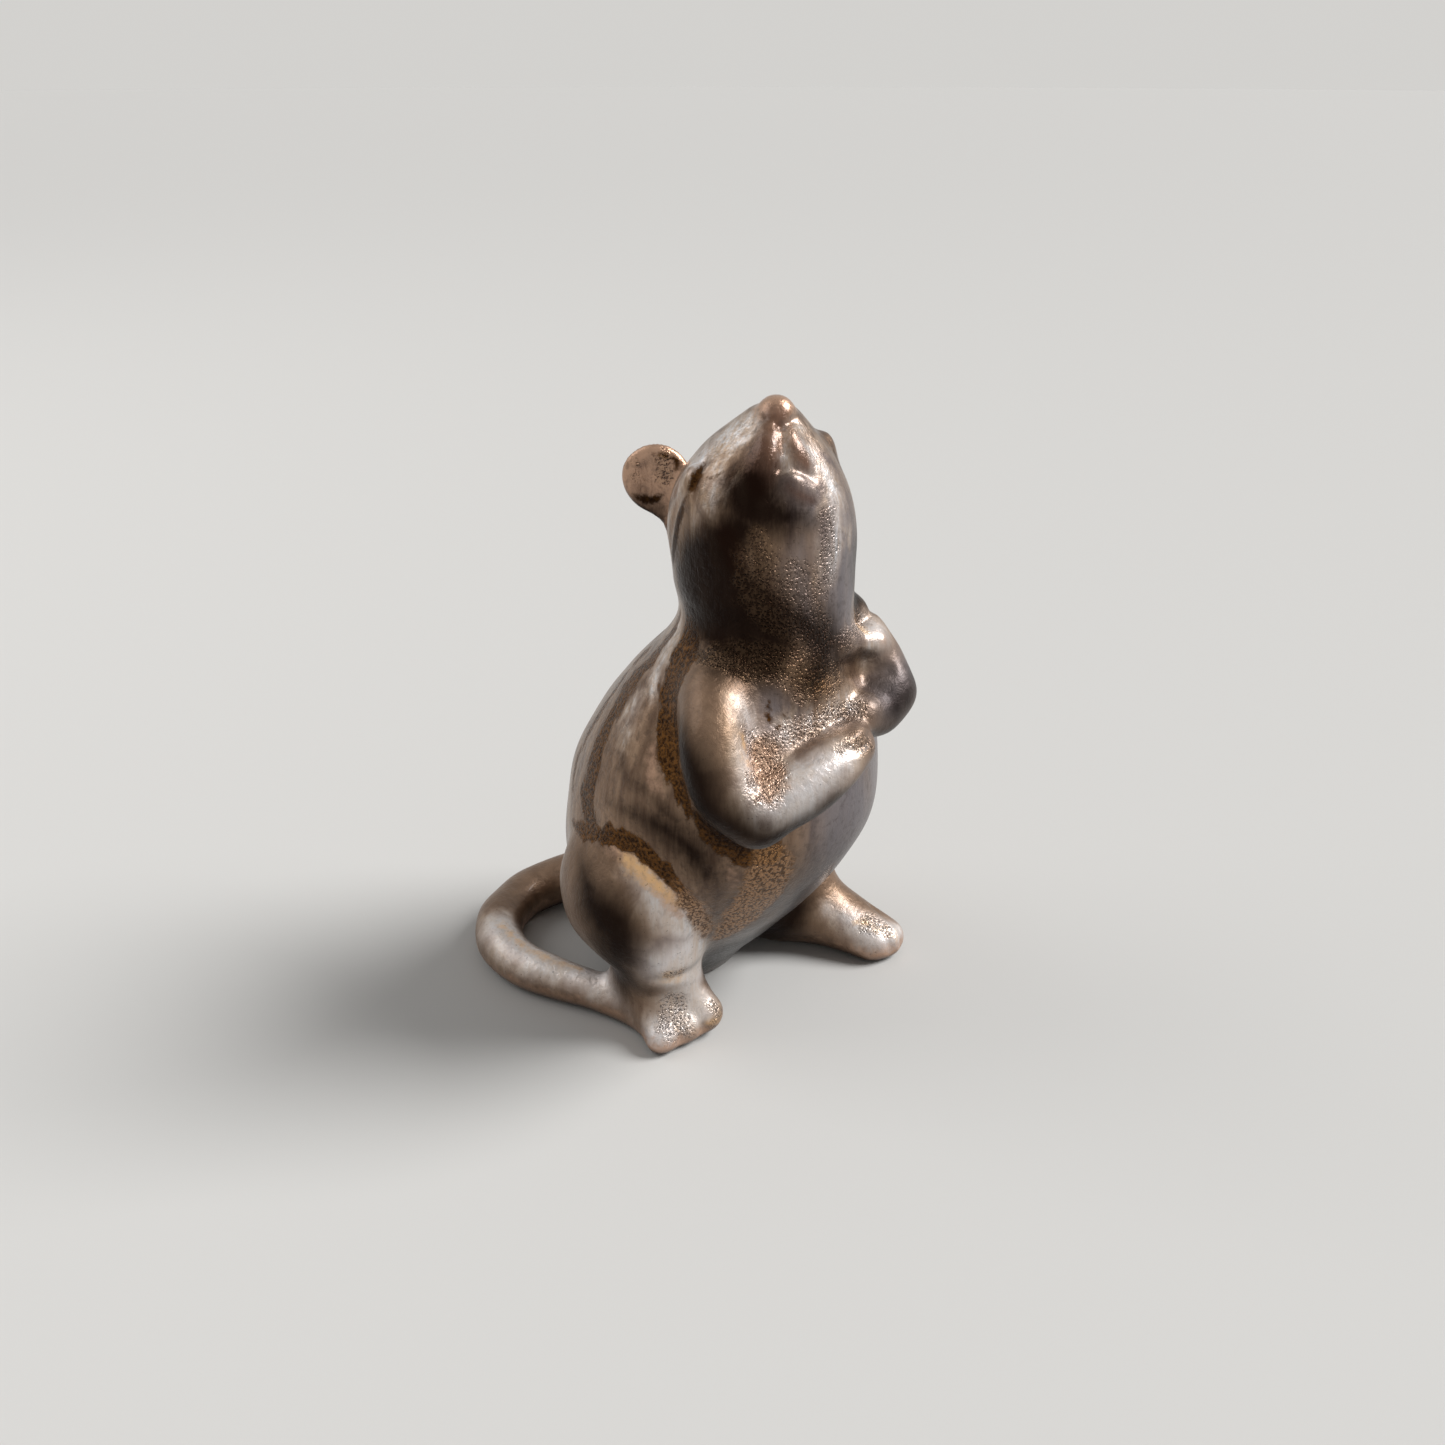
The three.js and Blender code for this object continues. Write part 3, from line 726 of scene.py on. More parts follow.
# %% [markdown]
# ## Where the glaze goes
#
# A lustre glaze runs while it melts. It slides off crests, pools in hollows, blisters into pits where
# it is thick and breaks to copper where it is thin. Painting that by hand on a texture would be one
# way; here each vertex gets a few numbers instead: how sharply the clay bends there, and how deep it
# lies inside regions that are drawn as tapered strokes, in millimetres from the stroke's edge. The
# shader later cuts these with noise, which gives crisp, irregular edges at any distance.

# %% Bend of the clay
BEND_REACH, LIMB_REACH, LATTICE_STEPS = 1.0, 2.4, 5
LIMBS = NODES[NODES.index("right_foreleg"):]


def bend(reach):
    """Mean curvature of the skin at every vertex, positive on crests and negative in hollows."""
    steps = np.vstack([np.eye(3), -np.eye(3)]) * reach
    around = np.mean([sample(surface, points + step) for step in steps], axis=0)
    return len(steps) / 2 * (around - sample(surface, points)) / reach**2


def share_of(nodes, reach):
    """Share of the grid round every vertex that belongs to some of the pieces."""
    wanted = np.isin(owner, [NODES.index(node) for node in nodes])
    total = np.zeros(len(points))
    lattice = np.linspace(-reach, reach, LATTICE_STEPS)
    for step in np.array(np.meshgrid(lattice, lattice, lattice)).reshape(3, -1).T:
        spot = np.rint((points + step - low_corner) / STEP).astype(int)
        total += wanted[tuple(np.clip(spot, 0, np.array(block) - 1).T)]
    return total / len(lattice) ** 3


marks = {"crest": bend(BEND_REACH), "facing_up": normals[:, 2], "limb": share_of(LIMBS, LIMB_REACH)}
print("bend of the skin, 1/mm, from", marks["crest"].min().round(2), "to", marks["crest"].max().round(2))

# %% Strokes of glaze
NARROW_BORDER, WIDE_BORDER = 4.0, 8.0
SIDE_TAIL = TAIL_ROWS[4:]


def on_body(*rows, out=0.0):
    """Stroke on the body's skin, from rows of height, degrees from the front and half width."""
    return [(*place(height, angle, out), half) for height, angle, half in rows]


def on_tail(rows, share):
    """Stroke along the top of the tail, its half width a share of the tail's radius."""
    return [(x, y, z + girth, share * girth) for x, y, z, girth in rows]


def paint(strokes, border=NARROW_BORDER):
    """Depth of every vertex inside the nearest stroke, in millimetres, less than zero outside."""
    depth = np.full(len(points), -border)
    for rows in strokes:
        rows = smooth_path(rows, per_span=4)
        gap = coil_field(rows[:, :3], rows[:, 3])(*points.T)
        depth = np.maximum(depth, -gap)
    return depth


print("vertices to paint:", len(points))

# %% [markdown]
# ## Brown runs
#
# The brown glaze is thick and dark. It runs from the neck down the back, fills the groove beside the
# right arm and lies in a band over the haunch. Thin lines of the same brown edge the eyes and the right
# ear, and a few beads sit above the right arm. Lines and runs are kept apart, because a drawn line holds
# its edge while a run wanders. The hidden sides get runs of the same kind, because the pot was turned
# while it was glazed.

# %% Brown runs
pooled = [
    on_body((65.4, -122, 0.4), (62.6, -126, 0.9), (58.5, -122, 1.3), (54.0, -119, 1.4), (47.4, -114, 1.5),
            (41.7, -108, 1.6), (37.6, -107, 1.8), (35.2, -102, 1.6)),
    on_body((58.2, -139, 0.4), (50.3, -131, 0.6), (44.7, -128, 0.7), (40.1, -126, 0.6),
            (36.7, -121, 0.5)),
    on_body((67.0, -96, 1.2), (63.0, -101, 2.0), (60.8, -95, 2.6), (57.8, -89, 2.9), (54.4, -82, 2.4),
            (49.2, -75, 1.8), (46.3, -68, 1.5), (43.1, -61, 1.1), (40.8, -55, 1.2), (37.9, -48, 1.6),
            (36.2, -39, 2.2), (35.5, -31, 2.2)),
    on_body((32.0, -112, 0.7), (33.4, -100, 1.2), (34.8, -86, 1.5), (34.2, -75, 1.4), (32.0, -66, 1.2),
            (29.0, -59, 0.7)),
    on_body((63.5, 122, 0.3), (60.0, 127, 1.5), (55.0, 124, 0.7), (49.0, 121, 1.3), (43.0, 117, 0.5),
            (39.0, 116, 0.9), (35.5, 115, 0.2)),
    on_body((64.5, 95, 1.8), (61.0, 90, 2.2), (57.0, 82, 1.2), (52.0, 70, 1.0), (47.0, 60, 0.5),
            (43.5, 52, 0.9), (41.5, 40, 0.3)),
    on_body((63.0, 168, 1.4), (59.0, 171, 1.9), (54.0, 169, 0.8), (48.0, 171, 1.1), (41.0, 174, 0.3)),
    on_body((60.0, -156, 1.3), (54.0, -158, 0.6), (48.0, -156, 0.9), (43.0, -153, 0.2)),
    on_body((33.0, 128, 0.3), (34.0, 112, 1.0), (33.4, 98, 1.5), (31.2, 84, 1.1), (28.0, 74, 0.4)),
]
marks["pool"] = paint(pooled)
print("vertices under brown runs:", int((marks["pool"] > 0).sum()))

# %% Drawn lines
drawn = [
    [(-10.4, -9.7, 88.0, 0.4), (-11.5, -10.0, 86.9, 0.75), (-12.5, -10.1, 85.7, 0.8),
     (-12.8, -9.2, 84.8, 0.3)],
    [(-12.8, -9.4, 84.4, 0.3), (-12.6, -8.4, 82.7, 0.6), (-12.5, -7.5, 81.0, 0.8),
     (-12.4, -6.8, 79.2, 0.85), (-12.3, -6.2, 77.4, 0.8), (-11.8, -5.2, 75.0, 0.7),
     (-11.4, -3.8, 72.6, 0.4)],
    on_body((86.6, -66, 0.1), (86.9, -61, 0.14), (87.7, -56, 0.08)),
    [(-8.0, 6.8, 79.8, 0.3), (-7.1, 5.8, 79.3, 0.7), (-5.9, 4.7, 79.3, 0.6), (-5.2, 4.2, 79.8, 0.3)],
    [(-6.2, 5.3, 85.7, 0.1), (-4.9, 3.8, 85.6, 0.25), (-3.8, 2.6, 84.9, 0.5), (-3.6, 2.6, 83.6, 0.4)],
    [(-9.8, -21.5, 57.6, 0.3), (-10.0, -21.7, 56.8, 0.45)],
    [(-10.5, -21.9, 55.8, 0.45), (-10.4, -22.2, 55.2, 0.45)],
    [(-9.8, -23.1, 54.3, 0.4), (-9.4, -23.2, 54.2, 0.4)],
    [(-8.5, -23.1, 55.5, 0.4), (-8.3, -23.3, 55.0, 0.4)],
    on_body((88.4, 74, 0.4), (87.0, 71, 0.75), (85.2, 74, 0.8), (82.0, 83, 0.7),
            (78.0, 90, 0.5), out=0.6),
]
marks["line"] = paint(drawn)
print("vertices under drawn lines:", int((marks["line"] > 0).sum()))

# %% [markdown]
# ## Painted shade, dusk and silver
#
# The throat, the underside of the snout, the elbow, the underside of the right arm, the shaded side of the
# right haunch and the lower belly are painted nearly black. This is painted shade, and a few weak strokes
# of it dim the window's glare on the right arm. The belly and the left cheek are a dull violet grey, and
# the forearm, the haunch, the feet and the tail are a pinkish silver, partly the glaze's own and partly a
# painted highlight on the faces that the window lights. These fade over a wide border, so their depth is
# kept out to 8 mm outside the stroke; the sharper marks need only 4 mm. A stroke that should only tint
# the clay gets a half width below zero.

# %% Painted shade and dusk
# Painted shade, nearly black: on the throat and under the snout, on the left of the neck, in a band on the
# right flank, under and beside both arms, on the shaded side of the right haunch, low on the belly by the
# ground, on the chest and under the right ear. Weak strokes dim the window's glare on the right arm.
painted_shade_strokes = [
    on_body((81.0, -34, 3.0), (77.0, -46, 4.5), (72.0, -52, 7.5), (67.0, -46, 6.5), (63.0, -50, 3.5)),
    on_body((88.6, -32, 1.0), (86.6, -30, 3.0), (84.4, -26, 3.8), (83.0, -10, 2.2), (82.6, 4, 0.4)),
    on_body((39.5, -94, -1.6), (39.6, -80, 0.2), (38.6, -69, 1.4), (36.4, -58, 2.2), (32.0, -50, 0.8)),
    on_body((66.0, 62, 2.0), (70.0, 70, 3.0), (75.0, 66, 2.5)),
    [(-21.5, -15.5, 55.0, 0.8), (-22.7, -19.0, 51.0, 3.2), (-21.5, -22.0, 46.5, 3.2),
     (-18.2, -27.6, 42.6, 2.2), (-12.0, -29.6, 42.6, 1.8), (-7.0, -31.0, 45.6, 1.2)],
    [(-25.0, 2.0, 30.0, -0.4), (-26.2, -2.6, 25.0, 2.6), (-24.6, -6.6, 21.0, 3.6),
     (-20.5, -2.0, 11.0, 3.0)],
    on_body((43.0, -57, 0.2), (39.9, -49, 1.4), (37.6, -41, 0.6)),
    [(-15.6, -20.4, 58.4, -1.2), (-15.8, -21.4, 57.0, -1.6)],
    [(-17.0, -25.0, 49.4, -1.4), (-16.8, -26.4, 47.8, -1.2)],
    on_body((10.0, 50, 4.0), (8.0, 20, 6.0), (8.0, -14, 6.0)),
    [(3.0, -24.0, 61.5, -2.0), (6.5, -24.4, 59.6, -2.0), (10.0, -24.6, 58.6, -2.4)],
    on_body((79.0, -22, 0.4), (74.0, -18, 1.0), (70.0, -10, 2.0), (64.0, -8, 2.4), (60.0, -20, 2.2)),
    on_body((75.0, 2, -1.6), (71.0, 4, -1.0), (66.0, 4, 0.8), (61.0, -2, 1.0)),
    [(13.0, -26.5, 54.6, 1.8), (8.4, -28.0, 53.4, 2.2)],
    [(2.0, -24.6, 60.4, -2.2), (5.0, -24.4, 58.8, -1.2), (9.0, -25.4, 57.8, -1.6)],
    on_body((50.0, -101, -1.9), (45.0, -92, -1.4), (43.0, -76, -0.5), (41.4, -70, 0.0), (40.0, -64, 0.2)),
    [(-7.8, 6.7, 78.8, 0.6), (-6.9, 5.6, 77.8, 1.2), (-6.2, 4.2, 77.1, 1.2), (-6.1, 2.8, 76.5, 0.8)],
]
dusky = [
    on_body((86.6, 4, 0.6), (85.0, 12, 1.4), (83.0, 14, 1.0)),
    on_body((47.0, -2, 4.0), (38.0, 4, 6.0), (30.0, 12, 7.0), (20.0, 8, 5.0)),
    on_body((46.0, 34, 5.0), (36.0, 38, 8.0), (26.0, 32, 7.0)),
    [(-19.0, -12.0, 19.4, 1.6), (-21.0, -9.6, 18.0, 1.8)],
    on_body((88.0, 36, 1.0), (82.0, 34, 3.0), (76.0, 34, 4.0), (68.0, 32, 4.0)),
    [(-10.0, -21.8, 57.2, 0.6), (-9.6, -22.8, 55.0, 1.2), (-8.6, -23.2, 55.0, 1.0)],
    on_body((80.0, 4, -1.0), (75.0, 2, 0.4), (69.0, 0, 0.4), (63.0, -6, -0.4)),
    [(13.0, -26.5, 56.0, 2.4), (8.4, -27.6, 54.0, 2.6)],
]
marks["painted_shade_and_gaps"] = paint(painted_shade_strokes, WIDE_BORDER)
marks["dusk"] = paint(dusky, WIDE_BORDER)
print("vertices in smoke and dusk:", int((marks["painted_shade_and_gaps"] > 0).sum()), int((marks["dusk"] > 0).sum()))

# %% Silver, partly painted highlight
# Silver, partly the glaze's own and partly a painted highlight on the lit faces of the arm, shoulder, haunch,
# feet and snout.
silver_and_highlight_strokes = [
    [(-13.6, -21.4, 56.5, 0.4), (-14.6, -22.6, 53.5, 1.4), (-16.8, -24.8, 50.5, 1.4),
     (-16.5, -27.2, 47.6, 2.2), (-13.7, -29.1, 47.4, 4.2), (-7.9, -30.9, 50.2, 3.0),
     (-2.2, -31.3, 51.6, -1.3)],
    [(-22.0, -8.3, 31.0, 1.4), (-20.5, -11.0, 27.5, 2.2), (-18.5, -12.8, 23.5, 2.6),
     (-16.8, -13.0, 20.7, 2.4)],
    [(-20.5, -11.8, 15.8, 3.2), (-17.0, -13.0, 15.6, 4.4), (-15.0, -12.8, 14.8, 3.0)],
    [(-16.3, -12.2, 6.8, 4.2), (-12.6, -14.0, 4.6, -0.8)],
    [(-19.4, -12.8, 16.0, 3.6), (-15.5, -12.6, 13.4, 4.2), (-13.4, -11.4, 11.0, 2.0)],
    [(-23.0, -11.8, 3.4, 3.4), (-20.2, -12.8, 4.4, 3.2)],
    [(16.4, -11.4, 8.5, 0.2), (20.5, -18.9, 5.2, 3.0), (23.6, -20.0, 4.0, 2.6)],
    [(6.5, -21.0, 66.5, 1.2), (7.6, -22.6, 64.2, 1.8), (9.3, -23.3, 62.6, 2.4)],
    [(23.0, 4.0, 27.0, -0.6), (24.0, -4.0, 22.0, 0.0)],
    [(-14.2, -20.6, 58.0, 0.2), (-14.0, -21.4, 56.0, 0.9), (-14.9, -22.8, 53.0, 1.1),
     (-15.6, -24.2, 50.0, 1.0)],
    [(-13.2, -23.8, 51.4, 1.2), (-12.6, -25.4, 48.8, 1.0)],
    [(-9.5, -23.8, 53.1, 0.9), (-5.1, -24.7, 53.9, 1.3), (1.0, -26.4, 54.8, 1.3)],
    on_body((93.0, -60, 1.0), (91.5, -80, 2.2), (88.5, -90, 2.4), (84.0, -100, 1.8)),
    on_body((86.5, -52, 0.6), (84.0, -58, 0.4), (81.0, -64, -0.4)),
    on_body((92.4, -4, 0.3), (90.6, -3, 0.6), (88.9, -1, 0.4), (88.3, 8, 0.2), (87.3, 18, 0.0)),
    on_body((92.6, 30, 1.0), (91.3, 22, 0.8), (88.5, 30, 0.6), (85.0, 36, 0.8), (79.0, 30, 1.8),
            (73.0, 26, 0.0)),
    on_body((63.5, -121, 0.5), (61.0, -114, 0.9), (58.2, -108, 1.0), (56.2, -101, 0.7)),
    on_body((55.0, -106, 0.6), (51.0, -104, 0.6), (46.0, -95, -1.4)),
    on_body((58.0, 108, 0.4), (50.0, 102, 0.4), (44.0, 96, -0.8)),
    on_body((56.0, 150, 0.6), (48.0, 152, 0.4), (38.0, 148, -0.8)),
    on_body((54.0, -172, 0.6), (46.0, -170, 0.4), (36.0, -168, -0.8)),
    on_tail(SIDE_TAIL, share=0.9),
]
marks["silver"] = paint(silver_and_highlight_strokes, WIDE_BORDER)
print("vertices in silver:", int((marks["silver"] > 0).sum()))

# %% [markdown]
# ## Blisters, grit and thin places
#
# Blistered patches lie in the bend of the arm, across the chest and on the right foot, with a tan grit on
# the belly. Gold edges the haunch and the toes, partly as gold lustre and partly as painted glints where the
# window catches the crests, and lips and nose are russet. Copper shows where the coat is thin: in small
# strokes, some of which are painted glints, on the nose and the ears, and in a rim round the feet and the
# tail at the ground, which is found from the height and needs no stroke.

# %% Blisters and grit
blistered = [
    [(-17.0, -24.6, 50.3, 0.3), (-16.9, -25.3, 49.1, 0.9), (-16.6, -26.5, 47.9, 0.9)],
    [(-13.7, -13.2, 63.1, 1.2), (-11.4, -17.5, 63.0, 2.4), (-7.7, -21.4, 62.3, 3.0),
     (-1.2, -24.7, 59.1, 2.6)],
    on_body((80.0, -22, 1.4), (77.0, -22, 2.8), (73.0, -20, 3.2), (68.0, -18, 2.6)),
    [(-14.8, -22.4, 55.0, 0.7), (-13.3, -23.6, 51.6, 2.2), (-13.6, -25.4, 48.8, 2.4),
     (-14.8, -26.4, 47.6, 2.0)],
    [(-13.5, -22.8, 52.1, 1.3), (-8.5, -24.2, 53.1, 1.5), (-2.5, -25.4, 54.4, 1.7),
     (2.7, -27.0, 54.0, 1.4)],
    [(-4.8, -30.3, 52.2, 0.7), (-2.2, -30.8, 52.0, 1.1), (-0.4, -31.0, 51.2, 0.9)],
    [(-6.6, -22.7, 75.7, 1.6), (-5.8, -23.0, 71.4, 2.8), (-3.8, -23.4, 65.3, 3.6),
     (-4.6, -24.0, 59.7, 3.2)],
    [(-18.6, -10.6, 8.2, 1.2), (-19.0, -11.2, 6.8, 2.4), (-19.6, -12.4, 4.6, 2.2),
     (-17.7, -13.6, 3.0, 0.8)],
    [(-13.2, -13.4, 6.0, 0.6), (-12.8, -14.0, 4.6, 1.1), (-13.4, -14.5, 3.0, 0.6)],
    [(-20.5, -12.0, 14.2, 0.6), (-18.8, -12.6, 13.4, 0.6)],
    [(2.4, -23.8, 63.7, 1.5), (8.0, -21.8, 64.4, 1.4)],
    [(20.5, -16.6, 6.3, 1.7), (22.0, -18.6, 5.2, 1.2)],
    on_body((82.0, 24, 1.2), (78.0, 22, 1.6), (73.0, 18, 2.0)),
    on_body((58.0, 60, 1.4), (52.0, 62, 1.8), (44.0, 58, 1.2)),
    [(-4.9, 4.2, 85.0, 1.0), (-4.4, 4.2, 82.4, 1.3)],
    [(-8.4, 6.0, 85.4, 0.7), (-8.8, 6.2, 82.6, 0.8)],
]
gritty = [
    on_body((36.0, -31, 1.6), (34.0, -29, 2.6), (30.0, -27, 3.4), (25.5, -27, 3.4), (20.5, -29, 2.8),
            (17.0, -31, 1.4)),
    on_body((29.5, -59, 0.6), (26.0, -52, 1.4), (22.5, -46, 1.4), (18.5, -41, 0.8)),
    [(-6.0, -24.4, 60.2, 0.4), (-2.6, -24.8, 58.6, 0.6)],
    on_body((44.0, 44, 0.4), (38.0, 40, 1.4), (31.0, 36, 1.6), (25.0, 34, 0.6)),
]
marks["pits"] = paint(blistered)
marks["grit"] = paint(gritty)
print("vertices in blisters and grit:", int((marks["pits"] > 0).sum()), int((marks["grit"] > 0).sum()))

# %% Gold, partly painted glints, and russet
# Gold along the crests, partly gold lustre and partly a painted highlight where the window glints.
gold_glint_strokes = [
    [(-23.4, -4.0, 32.4, -0.6), (-22.4, -7.4, 31.6, 1.1), (-21.2, -10.2, 29.6, 1.0),
     (-19.8, -12.0, 27.2, 0.4), (-18.6, -13.2, 24.6, -0.4)],
    [(-15.8, -22.4, 54.8, 0.1), (-16.4, -24.0, 51.8, 0.1)],
    [(-20.6, -12.0, 13.4, 0.7), (-18.6, -13.0, 13.0, 0.7)],
    [(-18.6, -10.8, 8.0, -0.4), (-18.8, -11.6, 6.2, 0.0), (-19.4, -12.6, 4.2, -0.2)],
    [(-14.0, -14.6, 3.2, 0.2), (-12.2, -14.6, 3.0, 0.1)],
    [(19.0, -15.4, 6.8, 0.2), (22.6, -19.6, 4.6, 0.2)],
    [(6.6, -21.2, 65.6, 0.5), (7.8, -22.6, 63.8, 0.7)],
    on_tail(SIDE_TAIL[:-2], share=0.05),
]
russet = [
    on_body((87.9, -7, -0.4), (86.7, 4, -0.3), (85.6, 15, -0.5), out=0.6),
    on_body((92.8, -21, 0.9), (90.4, -22, 1.9), (88.0, -24, 1.9), (86.4, -24, 1.2)),
    on_body((92.2, 7, 0.4), (90.4, 10, 0.9), (88.8, 15, 0.7)),
    on_body((86.4, -2, 0.2), (85.4, 5, 0.4), (84.6, 13, 0.2)),
    on_body((76.0, -34, 1.0), (80.0, -40, 1.4)),
    [(*NOSE_MIDDLE, 1.2), (*(NOSE_MIDDLE + (-1.5, -1.5, -0.5)), 1.6)],
    [(-5.2, 4.8, 83.6, -0.3), (-4.5, 3.9, 82.6, 0.0)],
    [(-7.1, 6.4, 84.0, -0.1), (-6.7, 6.0, 84.3, -0.1)],
]
marks["gold_glint"] = paint(gold_glint_strokes)
marks["russet"] = paint(russet)
print("vertices in gold and russet:", int((marks["gold_glint"] > 0).sum()), int((marks["russet"] > 0).sum()))

# %% Copper
COPPER_RIM, COPPER_FADE = 2.8, 5.0
THIN_NODES, THIN_REACH, THIN_SHARE = ("nose", "right_ear", "left_ear"), 1.2, 0.4
coppered = [
    # A painted orange glint low on the right front of the belly.
    [(-14.6, -19.0, 32.4, 0.3), (-14.0, -19.6, 30.4, 0.4)],
    on_body((92.8, -13, 0.7), (90.8, -12, 0.7)),
    on_body((92.6, 4, 0.1), (90.8, 5, 0.2)),
    on_body((49.0, -82, 0.2), (46.5, -79, 0.7), (44.0, -74, 0.4)),
    [(-13.3, -23.6, 51.6, 2.0), (-13.9, -25.4, 48.8, 2.4), (-15.4, -26.4, 47.8, 1.8)],
    # Copper along the haunch crest, partly a painted glint.
    [(-22.6, -3.0, 33.0, 0.8), (-22.0, -8.3, 31.0, 1.1), (-20.4, -11.2, 28.0, 1.0),
     (-18.6, -13.0, 24.0, 0.6)],
    # A painted orange glint at the foot of the throat.
    [(-6.6, -22.4, 64.8, 0.3), (-6.4, -22.8, 63.0, 0.5)],
    [(-18.4, -19.4, 57.0, -0.4), (-20.4, -21.0, 52.0, 0.2)],
    on_body((46.0, 96, 1.2), (42.0, 88, 1.4)),
]
low_edge = COPPER_RIM - points[:, 2] - COPPER_FADE * (1 - marks["limb"])
thin_coat = COPPER_FADE * (share_of(THIN_NODES, THIN_REACH) - THIN_SHARE)
marks["copper"] = np.maximum.reduce([paint(coppered), low_edge, thin_coat])
print("vertices in copper:", int((marks["copper"] > 0).sum()))

# %% The numbers on the meshes
for node, piece in pieces.items():
    for name, values in marks.items():
        stored = piece.data.attributes.new(name, "FLOAT", "POINT")
        stored.data.foreach_set("value", values[piece_points[node]].astype(np.float32))
print("numbers stored on each vertex:", len(marks))

# %% [markdown]
# ## Tools for the node trees
#
# A node tree that is written out link by link is hard to read. These few helpers make a node, set or
# link its inputs and give back its output, so that a material reads like a recipe.

# %% Numbers and colours
def feed(tree, socket, value):
    """Links a socket to another, or sets its value."""
    if isinstance(value, bpy.types.NodeSocket):
        tree.links.new(value, socket)
    else:
        socket.default_value = value


def calc(tree, operation, a, b=0.0):
    """A Math node's result."""
    made = tree.nodes.new("ShaderNodeMath")
    made.operation = operation
    feed(tree, made.inputs[0], a)
    feed(tree, made.inputs[1], b)
    return made.outputs[0]


def weighed(tree, *terms):
    """A sum of values, each times its weight."""
    total = 0.0
    for value, weight in terms:
        total = calc(tree, "ADD", total, calc(tree, "MULTIPLY", value, weight))
    return total


def ramp(tree, value, start, end):
    """A soft step from 0 at the start to 1 at the end, which may lie below the start."""
    made = tree.nodes.new("ShaderNodeMapRange")
    made.interpolation_type = "SMOOTHSTEP"
    feed(tree, made.inputs["Value"], value)
    feed(tree, made.inputs["From Min"], start)
    feed(tree, made.inputs["From Max"], end)
    return made.outputs[0]


def blend_colours(tree, share, a, b):
    """A mix of two colours."""
    made = tree.nodes.new("ShaderNodeMix")
    made.data_type = "RGBA"
    feed(tree, made.inputs[0], share)
    feed(tree, made.inputs[6], a)
    feed(tree, made.inputs[7], b)
    return made.outputs[2]


def blend_values(tree, share, a, b):
    """A mix of two numbers."""
    made = tree.nodes.new("ShaderNodeMix")
    feed(tree, made.inputs[0], share)
    feed(tree, made.inputs[2], a)
    feed(tree, made.inputs[3], b)
    return made.outputs[0]


print("helpers for numbers and colours made")


# %% Patterns and groups
def cloud(tree, where, scale, detail=3.0, roughness=0.55, distortion=0.0):
    """A noise pattern in the range 0 to 1, at so many features to the millimetre."""
    made = tree.nodes.new("ShaderNodeTexNoise")
    feed(tree, made.inputs["Vector"], where)
    feed(tree, made.inputs["Scale"], scale)
    feed(tree, made.inputs["Detail"], detail)
    feed(tree, made.inputs["Roughness"], roughness)
    feed(tree, made.inputs["Distortion"], distortion)
    return made.outputs["Fac"]


def stretched(tree, where, stretch):
    """A place with each axis multiplied."""
    made = tree.nodes.new("ShaderNodeVectorMath")
    made.operation = "MULTIPLY"
    feed(tree, made.inputs[0], where)
    feed(tree, made.inputs[1], stretch)
    return made.outputs[0]


def effect(name, inputs, outputs):
    """An empty node group with named inputs and outputs, and its two end nodes."""
    tree = bpy.data.node_groups.new(name, "ShaderNodeTree")
    for label, kind in inputs:
        tree.interface.new_socket(label, in_out="INPUT", socket_type="NodeSocket" + kind)
    for label in outputs:
        tree.interface.new_socket(label, in_out="OUTPUT", socket_type="NodeSocketFloat")
    print("node group", name, "gives", ", ".join(outputs))
    return tree, tree.nodes.new("NodeGroupInput").outputs, tree.nodes.new("NodeGroupOutput").inputs


def use(tree, group, **inputs):
    """A node group placed in a material: its outputs."""
    made = tree.nodes.new("ShaderNodeGroup")
    made.node_tree = group
    for name, value in inputs.items():
        feed(tree, made.inputs[name], value)
    return made.outputs


print("helpers for patterns and groups made")

# %% [markdown]
# ## Shared effects of the glaze
#
# All the pieces were dipped in the same glaze, so its effects are node groups. Lustre streaks gives what
# the melt leaves as it slides down: streaks, finer brush marks, a broad mottle, dark specks and a dimpled
# peel. Pooled glaze gives the brown runs, with an edge that wanders and frays and a grain inside. Blister
# pits gives patches of round holes with a web of glaze between them. Copper break gives the places where
# the coat is thin. Each takes a place in millimetres and gives masks, because one mask can then steer
# colour, gloss and relief alike.

# %% Lustre streaks
streaks, given, out = effect(
    "Lustre streaks", (("Place", "Vector"), ("Run", "Vector")), ("Streak", "Brush", "Mottle", "Speck", "Peel")
)
where = given["Place"]
slide = stretched(streaks, where, given["Run"])
feed(streaks, out["Streak"], cloud(streaks, slide, scale=0.5, detail=4.0, distortion=0.3))
feed(streaks, out["Brush"], cloud(streaks, slide, scale=2.4, detail=4.0, roughness=0.6))
feed(streaks, out["Mottle"], cloud(streaks, where, scale=0.16, roughness=0.5, distortion=0.6))
feed(streaks, out["Peel"], cloud(streaks, where, scale=0.9, detail=4.0, roughness=0.62, distortion=0.4))
feed(streaks, out["Speck"], ramp(streaks, cloud(streaks, where, scale=2.1, detail=1.0), start=0.71, end=0.76))

